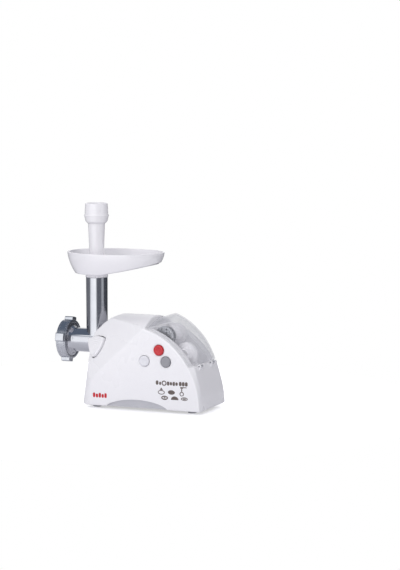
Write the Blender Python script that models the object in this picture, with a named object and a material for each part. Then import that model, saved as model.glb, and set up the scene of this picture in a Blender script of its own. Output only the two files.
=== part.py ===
"""Electric meat grinder: housing, motor and gears, feed head, tray, pusher and accessory store.

Lengths are in metres. +X runs from the feed head to the storage end, +Y from front to back, +Z up.
The model is laid out from the middle of the housing and then moved as a whole, so that the origin
lies on the floor under the centre of its bounding box.
"""

import math

import bmesh
import bpy
from mathutils import Matrix, Vector

MM = 0.001
GAP = 0.3 * MM  # between faces that touch in the real object
RUNNING = 0.5 * MM  # radial clearance of what turns or slides
MERGE = 0.003 * MM  # points closer than this are one

# Housing
BODY_WIDTH = 136 * MM
BODY_LEFT = -138 * MM  # foot of the sloping left end
BODY_RIGHT = 122 * MM  # foot of the front panel's edge
SKIRT_Z = 5 * MM  # lower edge of the housing, held up by the feet
ARCH_CENTRE_X = -30 * MM
ARCH_HEIGHT = 168.5 * MM  # of the elliptical back, above the floor
# end wall beyond the arch, at heights
END_BULGE = ((10 * MM, 92 * MM), (6 * MM, 72 * MM), (4 * MM, 52 * MM), (2.5 * MM, 28 * MM))
END_CHAMFER = 10 * MM  # across the corners between the panels and the end wall
TOP_Z = 183 * MM
CROWN_RADIUS = 136 * MM  # of the rounded top, seen from the end
WALL = 3 * MM
LEFT_CORNER_RADIUS = 25 * MM
EDGE_RADIUS = 6 * MM
SHOULDER_TOP_X = -75 * MM
SHOULDER_FOOT_X = -119 * MM
SHOULDER_FOOT_Z = 148 * MM
LEFT_LEAN = 16 * MM  # how far the left end leans in by the height of the barrel
FACET_TOP_X = 3 * MM  # where the side facet runs out at the front panel's upper corner
FACET_TOP_Z = 166 * MM
FACET_OUT = Vector((-0.300, -0.899, 0.318)).normalized()
SKIRT_ARCH = (-80 * MM, 55 * MM, 17 * MM)  # from x, to x, height

GLAND_X, GLAND_Z, GLAND_RADIUS = 88 * MM, 26 * MM, 6 * MM
VENTS = 7
VENT_X, VENT_PITCH, VENT_WIDTH = -38 * MM, 9 * MM, 4 * MM
VENT_Z = (48 * MM, 84 * MM)

# Storage bay and lid
BAY_LEFT = 9 * MM
BAY_DEPTH = 34 * MM  # below the arch
BAY_HALF_WIDTH = 42 * MM
BAY_LEDGE_Z = 86 * MM
END_WALL_TOP_Z = 92 * MM
LID_WALL = 2.2 * MM
LID_HALF_WIDTH = 62 * MM
LID_RISE = 26 * MM  # above the arch, at the top
LID_FOOT = 1.2 * MM  # lowest skin above the arch
LID_EDGE_Z = 96 * MM  # lower edge at the end wall
LID_END = 0.42  # share of the rise that is left there
HINGE_X = 109.5 * MM
HINGE_Z = 91.5 * MM
HINGE_PIN_RADIUS = 1.5 * MM
KNUCKLE_RADIUS = 3.8 * MM
KNUCKLE_LENGTH = 12 * MM
HINGE_Y = 30 * MM
LUG_THICKNESS = 3.5 * MM

# Base
BASE_THICKNESS = 3 * MM
APRON_THICKNESS = 2 * MM  # of the upright walls that close the skirt arches from behind
APRON_MARGIN = 4 * MM  # by which they overlap the arches
FOOT_RADIUS = 9 * MM
FOOT_X = (-108 * MM, 98 * MM)
FOOT_Y = 46 * MM
SCREW_RADIUS = 3.5 * MM
SCREW_X = (-84 * MM, 76 * MM)
SCREW_Y = 44 * MM

# Feed head
AXIS_Z = 126 * MM  # barrel, screw and drive output
BARREL_RADIUS = 24.2 * MM
BARREL_BORE = 21 * MM
RECESS_BACK_X = -106.5 * MM  # face of the housing that the upright tube stands before
HEAD_REAR_X = -92 * MM
FLANGE_REAR_X = -184 * MM
FLANGE_FRONT_X = -199 * MM
FLANGE_RADIUS = 34 * MM
PLATE_RADIUS = 30 * MM
PLATE_THICKNESS = 5 * MM
KNIFE_THICKNESS = 5 * MM
KNIFE_REACH = 27 * MM
RING_RADIUS = 39.5 * MM
RING_REAR_X = -183 * MM
RING_LIP = 3.5 * MM
RING_MOUTH = 25.5 * MM
RING_LUG_RADIUS = 46 * MM
RING_LUG_WIDTH = 18 * MM
RING_LUG_ANGLE = math.radians(78)
TUBE_X = -129.5 * MM
TUBE_RADIUS = 21.8 * MM
TUBE_FOOT_RADIUS = 21.3 * MM
TUBE_BORE = 19.2 * MM
TUBE_TOP_Z = 255.5 * MM
SOCKET_RADIUS = 31.5 * MM
SOCKET_NECK = 29.5 * MM  # where it fills the housing's mouth
SOCKET_REAR_X = -88 * MM
BAYONET_RADIUS = 28 * MM
BAYONET_LENGTH = 4 * MM
BAYONET_ANGLES = (math.radians(60), math.radians(240))
UNLOCK_ANGLE = math.radians(30)

# Feed screw
SCREW_CORE_RADIUS = 8 * MM
SCREW_FLIGHT_RADIUS = 20.2 * MM
SCREW_PITCH = 23 * MM
SCREW_REAR_X = -99 * MM
FLIGHT_REAR_X = -104 * MM
FLIGHT_THICKNESS = 3.4 * MM
SQUARE_STUB = 9 * MM
HEX_TANG_RADIUS = 7 * MM
STUD_RADIUS = 3.4 * MM

# Tray and pusher
TRAY_CENTRE_X = -87 * MM
TRAY_HALF_LENGTH = 100 * MM
TRAY_HALF_WIDTH = 72 * MM
TRAY_RIM_Z = 308 * MM
TRAY_FLOOR_Z = 264 * MM  # outer floor beside the neck
TRAY_FLOOR_RISE = 24 * MM  # of the floor towards the far end
TRAY_DRAFT = 0.36  # how far the wall leans in, over its depth
TRAY_WALL = 2.4 * MM
NECK_RADIUS = 22.3 * MM
SLEEVE_RADIUS = TUBE_BORE - RUNNING
SLEEVE_BORE = 17.6 * MM
SLEEVE_DEPTH = 16 * MM
PUSHER_FOOT_RADIUS = 12.6 * MM
PUSHER_TOP_RADIUS = 16.9 * MM
PUSHER_SHAFT = 112 * MM
PUSHER_COLLAR = 17 * MM
PUSHER_COLLAR_RADIUS = 25 * MM
PUSHER_GRIP = 23 * MM
PUSHER_GRIP_RADIUS = 23.5 * MM
PUSHER_RAISED = 98 * MM  # how far it stands above its stop

# Buttons
BUTTON_RADIUS = 10.6 * MM
BUTTON_PROUD = 3 * MM
BUTTON_TRAVEL = 3 * MM
BUTTON_STEM_RADIUS = 6 * MM
BUTTON_DEPTH = 6 * MM
BUTTON_STEM = 9.5 * MM
SWITCH_THICKNESS = 5 * MM
BUTTONS = {"red": (35.5 * MM, 123.4 * MM), "grey": (50.2 * MM, 100.9 * MM),
        "white": (4.6 * MM, 100.7 * MM)}
RELEASE_CENTRE = (-109 * MM, 121 * MM)  # x, z
RELEASE_PROUD = 6 * MM
RELEASE_TRAVEL = 3 * MM
RELEASE_DEPTH = 5 * MM

# Drive
MOTOR_Z = 58 * MM
MODULE_FIRST = 1.5 * MM
MODULE_SECOND = 1.75 * MM
TEETH_MOTOR, TEETH_IDLER_WHEEL = 10, 40
TEETH_IDLER_PINION, TEETH_OUTPUT = 10, 36
PRESSURE_ANGLE = math.radians(25)
ADDENDUM = 0.8  # in modules
DEDENDUM = 1.05
TOOTH_THINNING = 0.90  # leaves backlash
GEARBOX_FRONT_X = -87.5 * MM
GEARBOX_WALL = 3 * MM
GEARBOX_DEPTH = 38 * MM
OUTPUT_GEAR_WIDTH = 13 * MM
IDLER_WHEEL_WIDTH = 10 * MM
STATOR_RADIUS = 36 * MM
STATOR_BORE = 20.5 * MM
STATOR_X = (-20 * MM, 26 * MM)
COIL_RADII = (22.5 * MM, 32 * MM)
COIL_LENGTH = 10 * MM
ROTOR_RADIUS = 20 * MM
SHAFT_RADIUS = 4 * MM
SHAFT_REAR_X = 60 * MM
COMMUTATOR_RADIUS = 11 * MM
COMMUTATOR_X = (39 * MM, 49 * MM)
FAN_X = (-43 * MM, -34 * MM)
FAN_RADIUS = 31 * MM
FAN_BLADES = 8
BRACKET_X = 53 * MM
BRACKET_THICKNESS = 4 * MM


def material(name, colour, roughness=0.4, metallic=0.0, alpha=1.0):
    """A Principled material of one colour."""
    made = bpy.data.materials.new(name)
    made.use_nodes = True
    shader = made.node_tree.nodes["Principled BSDF"]
    shader.inputs["Base Color"].default_value = (*colour, 1)
    shader.inputs["Roughness"].default_value = roughness
    shader.inputs["Metallic"].default_value = metallic
    shader.inputs["Alpha"].default_value = alpha
    return made


def finished(bm, name, look=None):
    """Turns a bmesh into an object whose faces point out."""
    bmesh.ops.recalc_face_normals(bm, faces=bm.faces)
    mesh = bpy.data.meshes.new(name)
    bm.to_mesh(mesh)
    bm.free()
    obj = bpy.data.objects.new(name, mesh)
    bpy.context.scene.collection.objects.link(obj)
    if look:
        mesh.materials.append(look)
    return obj


def bridged(bm, rings, loop_closed=False):
    """Joins successive rings of vertices with faces. A ring of one vertex is a pole."""
    pairs = list(zip(rings, rings[1:]))
    if loop_closed:
        pairs.append((rings[-1], rings[0]))
    for a, b in pairs:
        count = max(len(a), len(b))
        for k in range(count):
            n = (k + 1) % count
            if len(a) == 1:
                bm.faces.new((a[0], b[k], b[n]))
            elif len(b) == 1:
                bm.faces.new((a[k], a[n], b[0]))
            else:
                bm.faces.new((a[k], a[n], b[n], b[k]))


def about_x(y=0.0, z=AXIS_Z):
    """Placing function for shapes turned about a line along X."""
    return lambda along, radius, angle: (along, y + radius * math.cos(angle),
            z + radius * math.sin(angle))


def about_y(x, z):
    """Placing function for shapes turned about a line along Y."""
    return lambda along, radius, angle: (x + radius * math.cos(angle), along,
            z + radius * math.sin(angle))


def about_z(x, y=0.0):
    """Placing function for shapes turned about a line along Z."""
    return lambda along, radius, angle: (x + radius * math.cos(angle), y + radius * math.sin(angle),
            along)


def turned(name, profile, place, look=None, steps=32):
    """Turns a profile of (along, radius) points. One that ends on the axis is solid, else it is a ring."""
    bm = bmesh.new()
    rings = []
    for along, radius in profile:
        count = steps if radius else 1
        rings.append([bm.verts.new(place(along, radius, math.tau * k / steps)) for k in range(count)])
    solid = profile[0][1] == 0 and profile[-1][1] == 0
    bridged(bm, rings, loop_closed=not solid)
    return finished(bm, name, look)


def cylinder(name, low, high, radius, place, look=None, steps=32):
    """A plain solid cylinder along the placing function's axis."""
    return turned(name, [(low, 0), (low, radius), (high, radius), (high, 0)], place, look, steps)


def tube(name, low, high, inner, outer, place, look=None, steps=32):
    """A ring or sleeve with square ends."""
    return turned(name, [(low, inner), (low, outer), (high, outer), (high, inner)], place, look, steps)


def prism(name, outline, low, high, place, look=None):
    """Extrudes a flat outline of (u, v) points between two levels."""
    bm = bmesh.new()
    ends = [[bm.verts.new(place(u, v, level)) for u, v in outline] for level in (low, high)]
    bridged(bm, ends)
    bm.faces.new(ends[0])
    bm.faces.new(ends[1])
    return finished(bm, name, look)


def lofted(name, sections, place, look=None):
    """A solid through outlines of equal length, given as (level, outline)."""
    bm = bmesh.new()
    rings = [[bm.verts.new(place(u, v, level)) for u, v in outline] for level, outline in sections]
    bridged(bm, rings)
    bm.faces.new(rings[0])
    bm.faces.new(rings[-1])
    return finished(bm, name, look)


def along_y(u, v, level):
    """Outline in X and Z, extruded along Y."""
    return (u, level, v)


def along_z(u, v, level):
    """Outline in X and Y, extruded along Z."""
    return (u, v, level)


def along_x(u, v, level):
    """Outline in Y and Z, extruded along X."""
    return (level, u, v)


def box(name, low, high, look=None):
    """A rectangular block between two corners."""
    outline = [(low[0], low[1]), (high[0], low[1]), (high[0], high[1]), (low[0], high[1])]
    return prism(name, outline, low[2], high[2], along_z, look)


def settled(obj):
    """Replaces an object's mesh by the result of its modifiers."""
    graph = bpy.context.evaluated_depsgraph_get()
    mesh = bpy.data.meshes.new_from_object(obj.evaluated_get(graph))
    obj.modifiers.clear()
    bm = bmesh.new()
    bm.from_mesh(mesh)
    bmesh.ops.remove_doubles(bm, verts=bm.verts, dist=MERGE)
    bmesh.ops.dissolve_degenerate(bm, edges=bm.edges, dist=MERGE)
    bm.to_mesh(mesh)
    bm.free()
    obj.data = mesh
    return obj


def combined(obj, others, operation):
    """Cuts, joins or intersects an object with others, which are used up."""
    for other in others:
        modifier = obj.modifiers.new(operation.lower(), "BOOLEAN")
        modifier.operation = operation
        modifier.solver = "EXACT"
        modifier.object = other
        settled(obj)
        bpy.data.objects.remove(other)
    return obj


def cut(obj, *cutters):
    """Removes the cutters' shapes from an object."""
    return combined(obj, cutters, "DIFFERENCE")


def joined(obj, *others):
    """Makes one body of an object and the others."""
    return combined(obj, others, "UNION")


def bevelled(obj, width, segments=2, angle=math.radians(28)):
    """Rounds an object's sharp edges."""
    modifier = obj.modifiers.new("bevel", "BEVEL")
    modifier.width = width
    modifier.segments = segments
    modifier.limit_method = "ANGLE"
    modifier.angle_limit = angle
    return settled(obj)


def shaded(obj, angle=math.radians(32)):
    """Smooth shading with sharp edges kept."""
    obj.data.shade_smooth()
    obj.data.set_sharp_from_angle(angle=angle)
    return obj


def arc(centre_x, centre_z, a, b, start, end, count):
    """Points on an ellipse between two angles."""
    spots = [start + (end - start) * k / count for k in range(count + 1)]
    return [(centre_x + a * math.cos(t), centre_z + b * math.sin(t)) for t in spots]


def arch_point(t, out=0.0):
    """A point (x, z) on the housing's elliptical back at angle t, moved out along its normal."""
    a, b = BODY_RIGHT - ARCH_CENTRE_X, ARCH_HEIGHT
    normal = Vector((math.cos(t) / a, math.sin(t) / b)).normalized()
    return (ARCH_CENTRE_X + a * math.cos(t) + out * normal.x, b * math.sin(t) + out * normal.y)


def arch_angle_at_x(x):
    """The back's angle above a point on X."""
    return math.acos((x - ARCH_CENTRE_X) / (BODY_RIGHT - ARCH_CENTRE_X))


def arch_angle_at_z(z):
    """The back's angle at a height."""
    return math.asin(z / ARCH_HEIGHT)


def housing_form(name, inset, bottom):
    """The housing's outer shape as one solid, moved in by inset. It is cut off flat at the bottom."""
    lean = LEFT_LEAN / (AXIS_Z - SKIRT_Z)
    left = BODY_LEFT + inset
    profile = [(left - (SKIRT_Z - bottom) * lean, bottom)]
    profile.append((left + (SHOULDER_FOOT_Z - SKIRT_Z) * lean, SHOULDER_FOOT_Z - inset))
    profile.append(((SHOULDER_FOOT_X + SHOULDER_TOP_X) / 2 + inset / 2,
            (SHOULDER_FOOT_Z + TOP_Z) / 2 + 3 * MM - inset))
    profile.append((SHOULDER_TOP_X + inset / 2, TOP_Z - inset))
    profile.append((FACET_TOP_X, TOP_Z - inset))
    start, end = arch_angle_at_x(FACET_TOP_X + 2 * MM), arch_angle_at_z(END_WALL_TOP_Z)
    profile += [arch_point(start + (end - start) * k / 9, -inset) for k in range(10)]
    plain, bulged = list(profile), list(profile)
    for out, z in (*END_BULGE, (1.5 * MM, bottom)):
        x = arch_point(arch_angle_at_z(max(z, 0)), 0)[0] - inset
        plain.append((x if z < END_WALL_TOP_Z else profile[-1][0] + 0.2 * MM,
                z - (0.5 * MM if z == END_WALL_TOP_Z else 0) - (inset if z == END_WALL_TOP_Z else 0)))
        bulged.append((x + out, z - (inset if z == END_WALL_TOP_Z else 0)))
    half = BODY_WIDTH / 2 - inset
    form = lofted(name, ((-half, plain), (-half + END_CHAMFER, bulged), (half - END_CHAMFER, bulged),
            (half, plain)), along_y)
    crown = cylinder("crown", BODY_LEFT - 50 * MM, BODY_RIGHT + 50 * MM, CROWN_RADIUS - inset,
                     about_x(0, TOP_Z - CROWN_RADIUS), steps=96)
    combined(form, [crown], "INTERSECT")
    for side in (-1, 1):
        cut(form, facet_cutter(side, inset))
    radius = LEFT_CORNER_RADIUS
    corner_x = BODY_LEFT + inset + radius
    far = BODY_RIGHT + 50 * MM
    plan = [(far, -half), (corner_x, -half)]
    plan += [(corner_x - radius * math.sin(t), -half + radius - radius * math.cos(t))
             for t in [math.pi / 2 * k / 6 for k in range(1, 7)]]
    plan += [(x, -y) for x, y in reversed(plan)]
    ends = prism("plan", plan, bottom - 10 * MM, TOP_Z + 10 * MM, along_z)
    # The plan leans with the left end, so that the corner keeps its radius up the slope.
    for vertex in ends.data.vertices:
        if vertex.co.x < 0:
            vertex.co.x += (vertex.co.z - SKIRT_Z) * lean
    combined(form, [ends], "INTERSECT")
    return form


def facet_cutter(side, inset=0.0):
    """A block whose flat face is the slanting facet beside the feed head. side is -1 at the front."""
    out = Vector((FACET_OUT.x, FACET_OUT.y * -side, FACET_OUT.z))
    spot = Vector((FACET_TOP_X, side * BODY_WIDTH / 2, FACET_TOP_Z)) - out * inset
    turn = out.to_track_quat("Z", "Y").to_matrix().to_4x4()
    block = box("facet", (-0.25, -0.25, 0), (0.25, 0.25, 0.2))
    block.data.transform(Matrix.Translation(spot) @ turn)
    return block


def make_housing(looks):
    """The moulded casing: an open-bottomed shell with the storage bay, holes and hinge lugs."""
    shell = bevelled(housing_form("housing", 0, SKIRT_Z), EDGE_RADIUS, segments=3)
    hollow = housing_form("hollow", WALL, SKIRT_Z - 10 * MM)
    cut(hollow, bay_solid("bay_floor", 0), recess_solid("recess_wall", WALL))
    cut(shell, bay_solid("bay", WALL), recess_solid("recess", 0), hollow, *housing_holes())
    joined(shell, *hinge_lugs())
    reach = HINGE_Y + KNUCKLE_LENGTH / 2 + 10 * MM
    cut(shell, cylinder("pin_hole", -reach, reach, HINGE_PIN_RADIUS + GAP, about_y(HINGE_X, HINGE_Z),
            steps=12))
    shell.data.materials.clear()
    shell.data.materials.append(looks["white"])
    return [shaded(shell)]


def bay_solid(name, inset):
    """The storage bay's space. With inset 0 it takes in its walls, and with WALL it is the bay itself."""
    depth = BAY_DEPTH + WALL - inset
    left = BAY_LEFT - WALL + inset
    ledge = BAY_LEDGE_Z - WALL + inset
    start, end = arch_angle_at_x(left + 14 * MM), arch_angle_at_z(ledge + 22 * MM)
    floor = [arch_point(start + (end - start) * k / 8, -depth) for k in range(9)]
    above = arch_point(arch_angle_at_z(END_WALL_TOP_Z))[0] + END_BULGE[0][0] - WALL
    high = TOP_Z + 20 * MM
    outline = [(left, high), (left, floor[0][1]), *floor, (floor[-1][0] + 1 * MM, ledge)]
    if inset:
        outline += [(above, ledge), (above, END_WALL_TOP_Z - 0.5 * MM),
                (BODY_RIGHT + 20 * MM, END_WALL_TOP_Z - 0.5 * MM)]
    else:
        outline.append((BODY_RIGHT + 20 * MM, ledge))
    outline.append((BODY_RIGHT + 20 * MM, high))
    half = BAY_HALF_WIDTH + WALL - inset
    return prism(name, outline, -half, half, along_y)


def recess_solid(name, grow):
    """Room for the upright tube before the housing's end, and for its swing back when the head unlocks."""
    reach = 80 * MM
    half = TUBE_FOOT_RADIUS + 2.5 * MM + grow
    swing = UNLOCK_ANGLE + math.radians(1)
    base = BARREL_RADIUS + 2 * MM + grow
    outline = [(-half, AXIS_Z + reach), (-half, AXIS_Z)]
    outline += [(base * math.cos(t),
            AXIS_Z + base * math.sin(t)) for t in [math.pi + (math.pi - swing) * k / 8 for k in range(9)]]
    outline += [(half * math.cos(swing) + reach * math.sin(swing),
            AXIS_Z - half * math.sin(swing) + reach * math.cos(swing))]
    return prism(name, outline, BODY_LEFT - 60 * MM, RECESS_BACK_X + grow, along_x)


def housing_holes():
    """Cutters for the head's mouth, buttons, release button, skirt arches, cable gland and vents."""
    tools = [cylinder("mouth", BODY_LEFT - 20 * MM, SOCKET_REAR_X, SOCKET_NECK + GAP, about_x(),
            steps=40)]
    front = -BODY_WIDTH / 2
    for name, (x, z) in BUTTONS.items():
        tools.append(cylinder("hole_" + name, front - 10 * MM, front + 10 * MM, BUTTON_RADIUS + RUNNING,
                about_y(x, z)))
    tools.append(release_solid("release_hole", -RELEASE_DEPTH - RELEASE_TRAVEL - 1 * MM, 20 * MM,
            0.8 * MM))
    for side in (-1, 1):
        notch = KNUCKLE_LENGTH / 2 + GAP
        tools.append(box("notch", (HINGE_X - 12 * MM, side * HINGE_Y - notch,
                HINGE_Z - KNUCKLE_RADIUS - 0.6 * MM),
                         (BODY_RIGHT + 5 * MM, side * HINGE_Y + notch, HINGE_Z + 10 * MM)))
    start, end, height = SKIRT_ARCH
    middle, half = (start + end) / 2, (end - start) / 2
    arch = [(middle + half * math.cos(t), SKIRT_Z - 1 * MM + (height + 1 * MM) * math.sin(t) ** 1.3)
            for t in [math.pi * k / 14 for k in range(15)]]
    tools.append(prism("skirt_arch", arch, front - 20 * MM, -front + 20 * MM, along_y))
    tools.append(cylinder("gland_hole", BODY_WIDTH / 2 - 10 * MM, BODY_WIDTH / 2 + 10 * MM,
            GLAND_RADIUS + GAP,
                          about_y(GLAND_X, GLAND_Z), steps=24))
    for k in range(VENTS):
        x = VENT_X + k * VENT_PITCH
        tools.append(box("vent", (x, BODY_WIDTH / 2 - 8 * MM, VENT_Z[0]),
                (x + VENT_WIDTH, BODY_WIDTH / 2 + 8 * MM, VENT_Z[1])))
    return tools


def hinge_lugs():
    """Pairs of ears on the bay's ledge that hold the lid's hinge pins."""
    lugs = []
    for side in (-1, 1):
        for edge in (-1, 1):
            middle = side * HINGE_Y + edge * (KNUCKLE_LENGTH / 2 + GAP + LUG_THICKNESS / 2)
            outline = [(HINGE_X - 4.6 * MM, HINGE_Z - 5 * MM), (HINGE_X + 1 * MM, HINGE_Z - 9 * MM)]
            outline += [(HINGE_X + KNUCKLE_RADIUS * math.cos(t), HINGE_Z + KNUCKLE_RADIUS * math.sin(t))
                        for t in [math.pi * k / 6 for k in range(7)]]
            lugs.append(prism("lug", outline, middle - LUG_THICKNESS / 2, middle + LUG_THICKNESS / 2,
                    along_y))
    return lugs


def release_solid(name, low, high, grow, look=None):
    """A shield-shaped prism on the front facet, from low to high along the facet's outward direction."""
    x, z = RELEASE_CENTRE
    spot = facet_spot(x, z)
    outline = [(-21, 12), (-13, 18), (-2, 20.5), (10, 19.5), (20, 15), (17, 2), (11, -10), (2, -20),
            (-7, -21), (-14, -10)]
    scale = 1 + grow / (19 * MM)
    side = Vector((1, 0, 0))
    side = (side - side.dot(FACET_OUT) * FACET_OUT).normalized()
    up = FACET_OUT.cross(side)
    up = up if up.z > 0 else -up

    def place(u, v, level):
        return spot + side * u * MM * scale + up * v * MM * scale + FACET_OUT * level

    return prism(name, outline, low, high, place, look)


def facet_spot(x, z):
    """The point of the front facet's plane at a place on X and Z."""
    start = Vector((FACET_TOP_X, -BODY_WIDTH / 2, FACET_TOP_Z))
    rest = FACET_OUT.x * (x - start.x) + FACET_OUT.z * (z - start.z)
    return Vector((x, start.y - rest / FACET_OUT.y, z))


def lid_surface(name, inset, look=None):
    """The lid's skin: cross sections that stand on the arch and are flat-topped with sloping sides."""
    across = [(-1, 0), (-0.97, 0.22), (-0.86, 0.62), (-0.74, 0.9), (-0.6, 1), (0, 1)]
    across += [(-u, f) for u, f in reversed(across[:-1])]
    first, last = arch_angle_at_x(BAY_LEFT - 3 * MM), arch_angle_at_z(LID_EDGE_Z - 13 * MM)
    stations = [(first, 0.05), (first - 0.035, 0.6), (first - 0.07, 0.93), (first - 0.1, 1.0)]
    count = 8
    stations += [(first - 0.1 + (last - first + 0.1) * k / count,
            1 - (1 - LID_END) * (k / count) ** 2) for k in range(1, count + 1)]
    bm = bmesh.new()
    rows = []
    for t, share in stations:
        row = []
        for u, f in across:
            x, z = arch_point(t, LID_FOOT + LID_RISE * share * f - inset)
            row.append(bm.verts.new((x, u * (LID_HALF_WIDTH - inset), z)))
        rows.append(row)
    for a, b in zip(rows, rows[1:]):
        for k in range(len(a) - 1):
            bm.faces.new((a[k], a[k + 1], b[k + 1], b[k]))
    return finished(bm, name, look)


def make_lid(looks):
    """The clear storage lid, with knuckles that turn on the hinge pins."""
    lid = lid_surface("storage_lid", 0, looks["clear"])
    for face in lid.data.polygons:
        if face.normal.z < 0:
            lid.data.flip_normals()
            break
    solidify = lid.modifiers.new("wall", "SOLIDIFY")
    solidify.thickness = LID_WALL
    solidify.offset = -1
    solidify.use_even_offset = True
    settled(lid)
    form = housing_form("form", -GAP - 0.2 * MM, SKIRT_Z)
    cut(lid, form, box("edge", (0, -0.1, 0), (0.2, 0.1, LID_EDGE_Z)))
    for side in (-1, 1):
        knuckle = cylinder("knuckle", side * HINGE_Y - KNUCKLE_LENGTH / 2,
                side * HINGE_Y + KNUCKLE_LENGTH / 2,
                           KNUCKLE_RADIUS, about_y(HINGE_X, HINGE_Z), steps=16)
        arm = [(HINGE_X - 1.8 * MM, HINGE_Z + 1 * MM), (HINGE_X + 2.2 * MM, HINGE_Z + 1 * MM),
               (HINGE_X + 0.6 * MM, LID_EDGE_Z + 2 * MM), (HINGE_X - 1.2 * MM, LID_EDGE_Z + 5 * MM),
                (HINGE_X - 2.6 * MM, LID_EDGE_Z + 4 * MM)]
        reach = KNUCKLE_LENGTH / 2 - 1 * MM
        arm = prism("arm", arm, side * HINGE_Y - reach, side * HINGE_Y + reach, along_y)
        joined(lid, arm, knuckle)
    cut(lid, cylinder("pin_hole", -BAY_HALF_WIDTH, BAY_HALF_WIDTH, HINGE_PIN_RADIUS + GAP,
            about_y(HINGE_X, HINGE_Z), steps=12))
    pins = []
    for side, where in ((-1, "front"), (1, "rear")):
        half = KNUCKLE_LENGTH / 2 + LUG_THICKNESS
        pins.append(cylinder("lid_hinge_pin_" + where, side * HINGE_Y - half, side * HINGE_Y + half,
                HINGE_PIN_RADIUS,
                             about_y(HINGE_X, HINGE_Z), looks["steel"], steps=12))
    return [shaded(lid), *map(shaded, pins)]


def make_base(looks):
    """The bottom cover with its feet and screws."""
    inset = WALL + GAP
    half = BODY_WIDTH / 2 - inset
    radius = LEFT_CORNER_RADIUS + 2 * MM
    left, right = BODY_LEFT + inset + 2 * MM, BODY_RIGHT - inset - 1 * MM
    outline = [(right, -half), (left + radius, -half)]
    outline += [(left + radius - radius * math.sin(t), -half + radius - radius * math.cos(t))
                for t in [math.pi / 2 * k / 5 for k in range(1, 6)]]
    outline += [(x, -y) for x, y in reversed(outline)]
    # The cover is set in above the skirt's edge; bosses under it carry the feet.
    low = SKIRT_Z + 1 * MM
    cover = prism("base_cover", outline, low, low + BASE_THICKNESS, along_z, looks["white"])
    start, end, height = SKIRT_ARCH
    for side in (-1, 1):
        near, far = sorted((side * half, side * (half - APRON_THICKNESS)))
        joined(cover, box("apron", (start - APRON_MARGIN, near, low),
                (end + APRON_MARGIN, far, SKIRT_Z + height + APRON_MARGIN)))
    nodes = [cover]
    for x, end in zip(FOOT_X, ("left", "right")):
        for side, where in ((-1, "front"), (1, "rear")):
            foot = [(0, 0), (0, FOOT_RADIUS - 1 * MM), (1 * MM, FOOT_RADIUS),
                    (SKIRT_Z + 1 * MM - GAP, FOOT_RADIUS - 1.5 * MM),
                    (SKIRT_Z + 1 * MM - GAP, 3 * MM), (SKIRT_Z + BASE_THICKNESS + 2 * MM, 3 * MM),
                    (SKIRT_Z + BASE_THICKNESS + 2 * MM, 0)]
            nodes.append(turned(f"foot_{where}_{end}", foot, about_z(x, side * FOOT_Y), looks["rubber"],
                    steps=14))
            cut(cover, cylinder("foot_hole", 0, 0.03, 3 * MM + GAP, about_z(x, side * FOOT_Y), steps=12))
    for x, end in zip(SCREW_X, ("left", "right")):
        for side, where in ((-1, "front"), (1, "rear")):
            head = SKIRT_Z + 1 * MM - GAP
            shape = [(head - 2 * MM, 0), (head - 2 * MM, SCREW_RADIUS - 0.6 * MM),
                    (head - 1.4 * MM, SCREW_RADIUS), (head, SCREW_RADIUS),
                     (head, 1.6 * MM), (head + 10 * MM, 1.6 * MM), (head + 12 * MM, 0)]
            screw = turned(f"base_screw_{where}_{end}", shape, about_z(x, side * SCREW_Y), looks["steel"],
                    steps=10)
            nodes.append(screw)
            cut(cover, cylinder("screw_hole", 0, 0.03, 1.6 * MM + GAP, about_z(x, side * SCREW_Y),
                    steps=12))
    return [shaded(node) for node in nodes]


def make_gland(looks):
    """The rubber bush that the mains lead would pass through."""
    y = BODY_WIDTH / 2
    shape = [(y - 8 * MM, 3.6 * MM), (y - 8 * MM, GLAND_RADIUS + 2 * MM),
            (y - WALL - GAP, GLAND_RADIUS + 2 * MM),
             (y - WALL - GAP, GLAND_RADIUS), (y + GAP, GLAND_RADIUS), (y + GAP, GLAND_RADIUS + 2.2 * MM),
             (y + 2.5 * MM, GLAND_RADIUS + 1.6 * MM), (y + 2.5 * MM, 3.6 * MM)]
    return [shaded(turned("cable_gland", shape, about_y(GLAND_X, GLAND_Z), looks["rubber"], steps=20))]


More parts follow.
